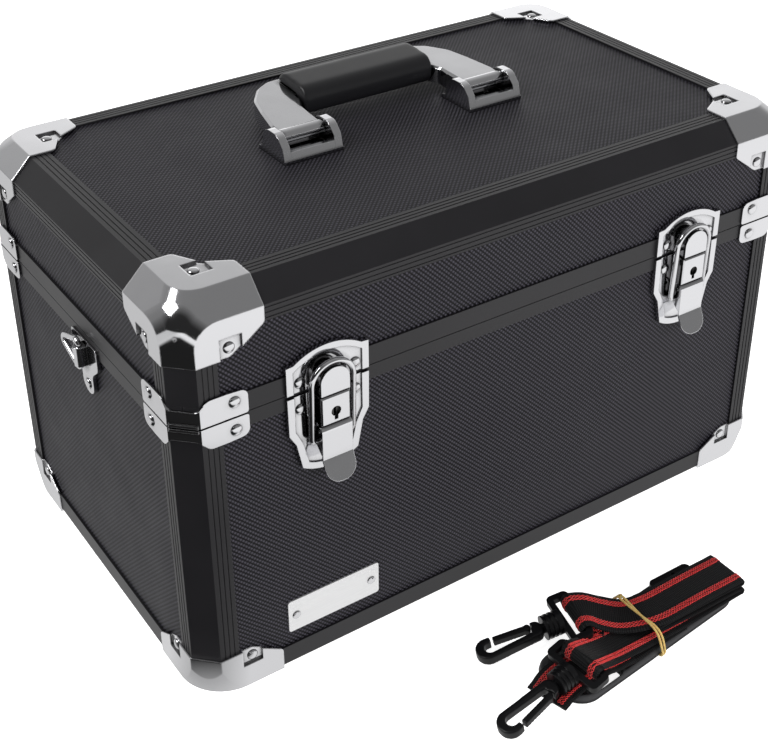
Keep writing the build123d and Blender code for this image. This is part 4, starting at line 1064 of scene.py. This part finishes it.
band_wire = 0.62 * mm
band_gap = 0.95 * mm
band_half_twists = 3
band_flat = 0.25
band_step = 0.5 * mm
band_sides = 10
band_axis = Vector((0, -196 * mm, 9 * mm))
band_dark = (0.36, 0.23, 0.055, 1)
band_pale = (0.62, 0.45, 0.16, 1)


def band_finish():
    """Tan rubber, slightly translucent and dusty."""
    constants = {"Roughness": 0.5, "Subsurface Weight": 0.15, "Subsurface Scale": 1.0 * mm}
    material, tree, shader = finish_named("tan_rubber", constants)
    dust = cloud(tree, scale=500.0, detail=3.0)
    feed(tree, shader, {"Base Color": tinted(tree, dust, band_dark, band_pale)})
    return material


def band_loop():
    """The band's middle line round the strap and the pad, as evenly spaced points."""
    corners = [(16.4, -184.6, 18.4), (15.9, -192, 18.5), (15.7, -202.5, 18.5), (16.0, -208.8, 18.3),
               (16.5, -212.6, 16.2), (17.0, -214.6, 12.6), (17.8, -215.9, 7.0), (18.4, -216.0, 4.0),
               (18.4, -214.4, 1.5), (18.4, -208, 1.15), (18.4, -196, 1.15), (18.4, -184, 1.15),
               (18.4, -177.4, 1.5), (18.4, -175.6, 4.5), (18.2, -176.8, 9.5), (17.6, -180.0, 14.2),
               (16.9, -182.4, 17.4)]
    closed = [tuple(part * mm for part in corner) for corner in corners[-2:] + corners + corners[:2]]
    rows = [Vector(row) for row in smooth_path(closed, band_step)]
    first = Vector(closed[2])
    half = len(rows) // 2
    start = min(range(half), key=lambda i: (rows[i] - first).length)
    end = min(range(half, len(rows)), key=lambda i: (rows[i] - first).length)
    return rows[start:end]


strands = bmesh.new()
line = band_loop()
for strand in range(2):
    points = []
    for i, point in enumerate(line):
        way = (line[(i + 1) % len(line)] - line[i - 1]).normalized()
        outward = Vector((0, point.y, point.z)) - band_axis
        outward = (outward - way * outward.dot(way)).normalized()
        aside = way.cross(outward)
        phase = pi * band_half_twists * i / len(line) + strand * pi
        points.append(point + aside * cos(phase) * band_gap + outward * sin(phase) * band_wire * band_flat)
    add_tube(strands, points, band_wire, band_sides, closed=True)
tan_band = piece_from("tan_band", strands, band_finish(), "shoulder_strap")
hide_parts("strap_band")

# Floor, lights and camera
# A plain white floor under two soft lamps, in a pale room. In the chrome the floor shows a painted
# reflection, with a painted dark patch at the left in place of a dark card.
# The camera stands where the photograph was taken from. Distances in this section are in metres.

floor_half = 6.0
floor_drop = 0.05 * mm
floor_white = (0.92, 0.92, 0.92, 1)
plain_white = (1, 1, 1, 1)
floor_glow = 0.85
bright_way = (0.5, -0.86, 0)
bright_reach = (-0.28, 0.37)
painted_reflection_back = 0.61
painted_reflection_front = 0.94
# Where the painted dark patch lies on the floor, and how dark it glows in reflections.
dark_patch_across = (0.54, -0.84, 0)
dark_patch_along = (0.84, 0.54, 0)
dark_patch_sides = (0.13, 0.21)
dark_patch_near = (-0.24, -0.2)
dark_patch_far = (-1.2, -0.9)
dark_patch_grey = 0.02


def floor_finish():
    """White floor, which keeps the contact shadow.

    Chrome sees a painted reflection of it instead: it glows brighter at the front right than at the back
    left, with a painted dark patch on it."""
    constants = {"Base Color": floor_white, "Roughness": 0.9, "Specular IOR Level": 0.0}
    material, tree, shader = finish_named("white_floor", constants)
    point = place_of(tree)
    # Painted reflection: for glossy rays the floor is an emission, brighter towards the front right and
    # nearly black over the dark patch.
    slope = along_way(tree, point, bright_way)
    level = between(tree, slope, painted_reflection_back, painted_reflection_front, *bright_reach)
    aside = add(tree, "Math", {0: along_way(tree, point, dark_patch_across)}, operation="ABSOLUTE")
    along = along_way(tree, point, dark_patch_along)
    beside_dark_patch = between(tree, aside, dark_patch_grey, 1.0, *dark_patch_sides)
    before_dark_patch = between(tree, along, 0.0, 1.0, *dark_patch_near)
    beyond_dark_patch = between(tree, along, 1.0, 0.0, *dark_patch_far)
    ends = add(tree, "Math", {0: before_dark_patch, 1: beyond_dark_patch}, operation="MAXIMUM")
    off_dark_patch = add(tree, "Math", {0: ends, 1: beside_dark_patch}, operation="MAXIMUM")
    mirrored = add(tree, "Emission", {"Color": plain_white, "Strength": product(tree, level, off_dark_patch)})
    glow = add(tree, "Emission", {"Color": plain_white, "Strength": floor_glow})
    lit = shader.outputs["BSDF"]
    plain = add(tree, "AddShader", {0: lit, 1: glow})
    glossy_ray = add(tree, "LightPath", out="Is Glossy Ray")
    camera_ray = add(tree, "LightPath", out="Is Camera Ray")
    for_others = add(tree, "MixShader", {0: glossy_ray, 1: lit, 2: mirrored})
    final = add(tree, "MixShader", {0: camera_ray, 1: for_others, 2: plain})
    tree.links.new(final, tree.nodes["Material Output"].inputs["Surface"])
    return material


shape = bmesh.new()
bmesh.ops.create_grid(shape, x_segments=1, y_segments=1, size=floor_half)
floor_mesh = bpy.data.meshes.new("floor")
shape.to_mesh(floor_mesh)
shape.free()
floor_mesh.materials.append(floor_finish())
floor = bpy.data.objects.new("floor", floor_mesh)
floor.location = (0, 0, -floor_drop)
bpy.context.scene.collection.objects.link(floor)


def lamp(name, where, width, height, watts, mirrored):
    """A soft rectangular lamp, turned to the middle of the case."""
    data = bpy.data.lights.new(name, "AREA")
    data.shape = "RECTANGLE"
    data.size = width
    data.size_y = height
    data.energy = watts
    made = bpy.data.objects.new(name, data)
    made.location = where
    made.rotation_mode = "QUATERNION"
    made.rotation_quaternion = (lamp_aim - Vector(where)).to_track_quat("-Z", "Y")
    made.visible_glossy = mirrored
    bpy.context.scene.collection.objects.link(made)


lamp_aim = Vector((0, 0, 0.1))
lamp("left_soft_box", (-1.15, 0.25, 1.25), width=0.9, height=0.7, watts=15, mirrored=True)
lamp("front_soft_box", (0.5, -2.2, 0.7), width=1.6, height=1.0, watts=44, mirrored=False)

back_way = (0.476, 0.733, 0.488)
back_focus = 3.0
room_plain = 0.2
room_back = 0.3
low_back_most = 0.75
low_back_heights = (0.5, 0.3)
dark_way = (-0.82, -0.53, 0.2)
dark_edges = (0.55, 0.85)
dark_least = 0.1
room_fill = 0.62

world = bpy.data.worlds.new("studio")
bpy.context.scene.world = world
world.use_nodes = True
sky = world.node_tree
sky.nodes.clear()
direction = add(sky, "TexCoord", out="Generated")
toward_back = add(sky, "Math", {0: along_way(sky, direction, back_way), 1: 0.0}, operation="MAXIMUM")
lobe = add(sky, "Math", {0: toward_back, 1: back_focus}, operation="POWER")
high_room = add(sky, "Math", {0: lobe, 1: room_back, 2: room_plain}, operation="MULTIPLY_ADD")
upward = add(sky, "SeparateXYZ", {"Vector": direction}, out="Z")
low_back = between(sky, upward, 0.0, low_back_most, *low_back_heights)
back_glow = add(sky, "Math", {0: lobe, 1: low_back, 2: high_room}, operation="MULTIPLY_ADD")
off_dark = between(sky, along_way(sky, direction, dark_way), 1.0, dark_least, *dark_edges)
room = product(sky, back_glow, off_dark)
shown = add(sky, "LightPath", out="Is Camera Ray")
glossy = add(sky, "LightPath", out="Is Glossy Ray")
soft_room = add(sky, "Mix", {"Factor": glossy, 2: room_fill, 3: room}, data_type="FLOAT")
strength = add(sky, "Mix", {"Factor": shown, 2: soft_room, 3: 1.0}, data_type="FLOAT")
background = add(sky, "Background", {"Color": plain_white, "Strength": strength})
add(sky, "OutputWorld", {"Surface": background})

azimuth = -0.57615
elevation = 0.50934
camera_distance = 790.9 * mm
camera_aim = Vector((-16.2 * mm, 0, 150.06 * mm))
roll = -0.01413
focal_pixels = 1415.06
frame_width = 768
shift_right = 13.96
shift_up = -120.0
sensor = 36.0

lens = bpy.data.cameras.new("camera")
lens.sensor_width = sensor
lens.lens = focal_pixels / frame_width * sensor
lens.shift_x = shift_right / frame_width
lens.shift_y = shift_up / frame_width
lens.clip_start = 0.01
lens.clip_end = 50.0
right = Vector((cos(azimuth), sin(azimuth), 0))
back = Vector((sin(azimuth) * cos(elevation), -cos(azimuth) * cos(elevation), sin(elevation)))
up = back.cross(right)
rolled_right = right * cos(roll) + up * sin(roll)
rolled_up = up * cos(roll) - right * sin(roll)
camera = bpy.data.objects.new("camera", lens)
bpy.context.scene.collection.objects.link(camera)
turn = Matrix((rolled_right, rolled_up, back)).transposed()
camera.matrix_world = Matrix.Translation(camera_aim + back * camera_distance) @ turn.to_4x4()
bpy.context.scene.camera = camera
bpy.context.scene.view_settings.view_transform = "Standard"
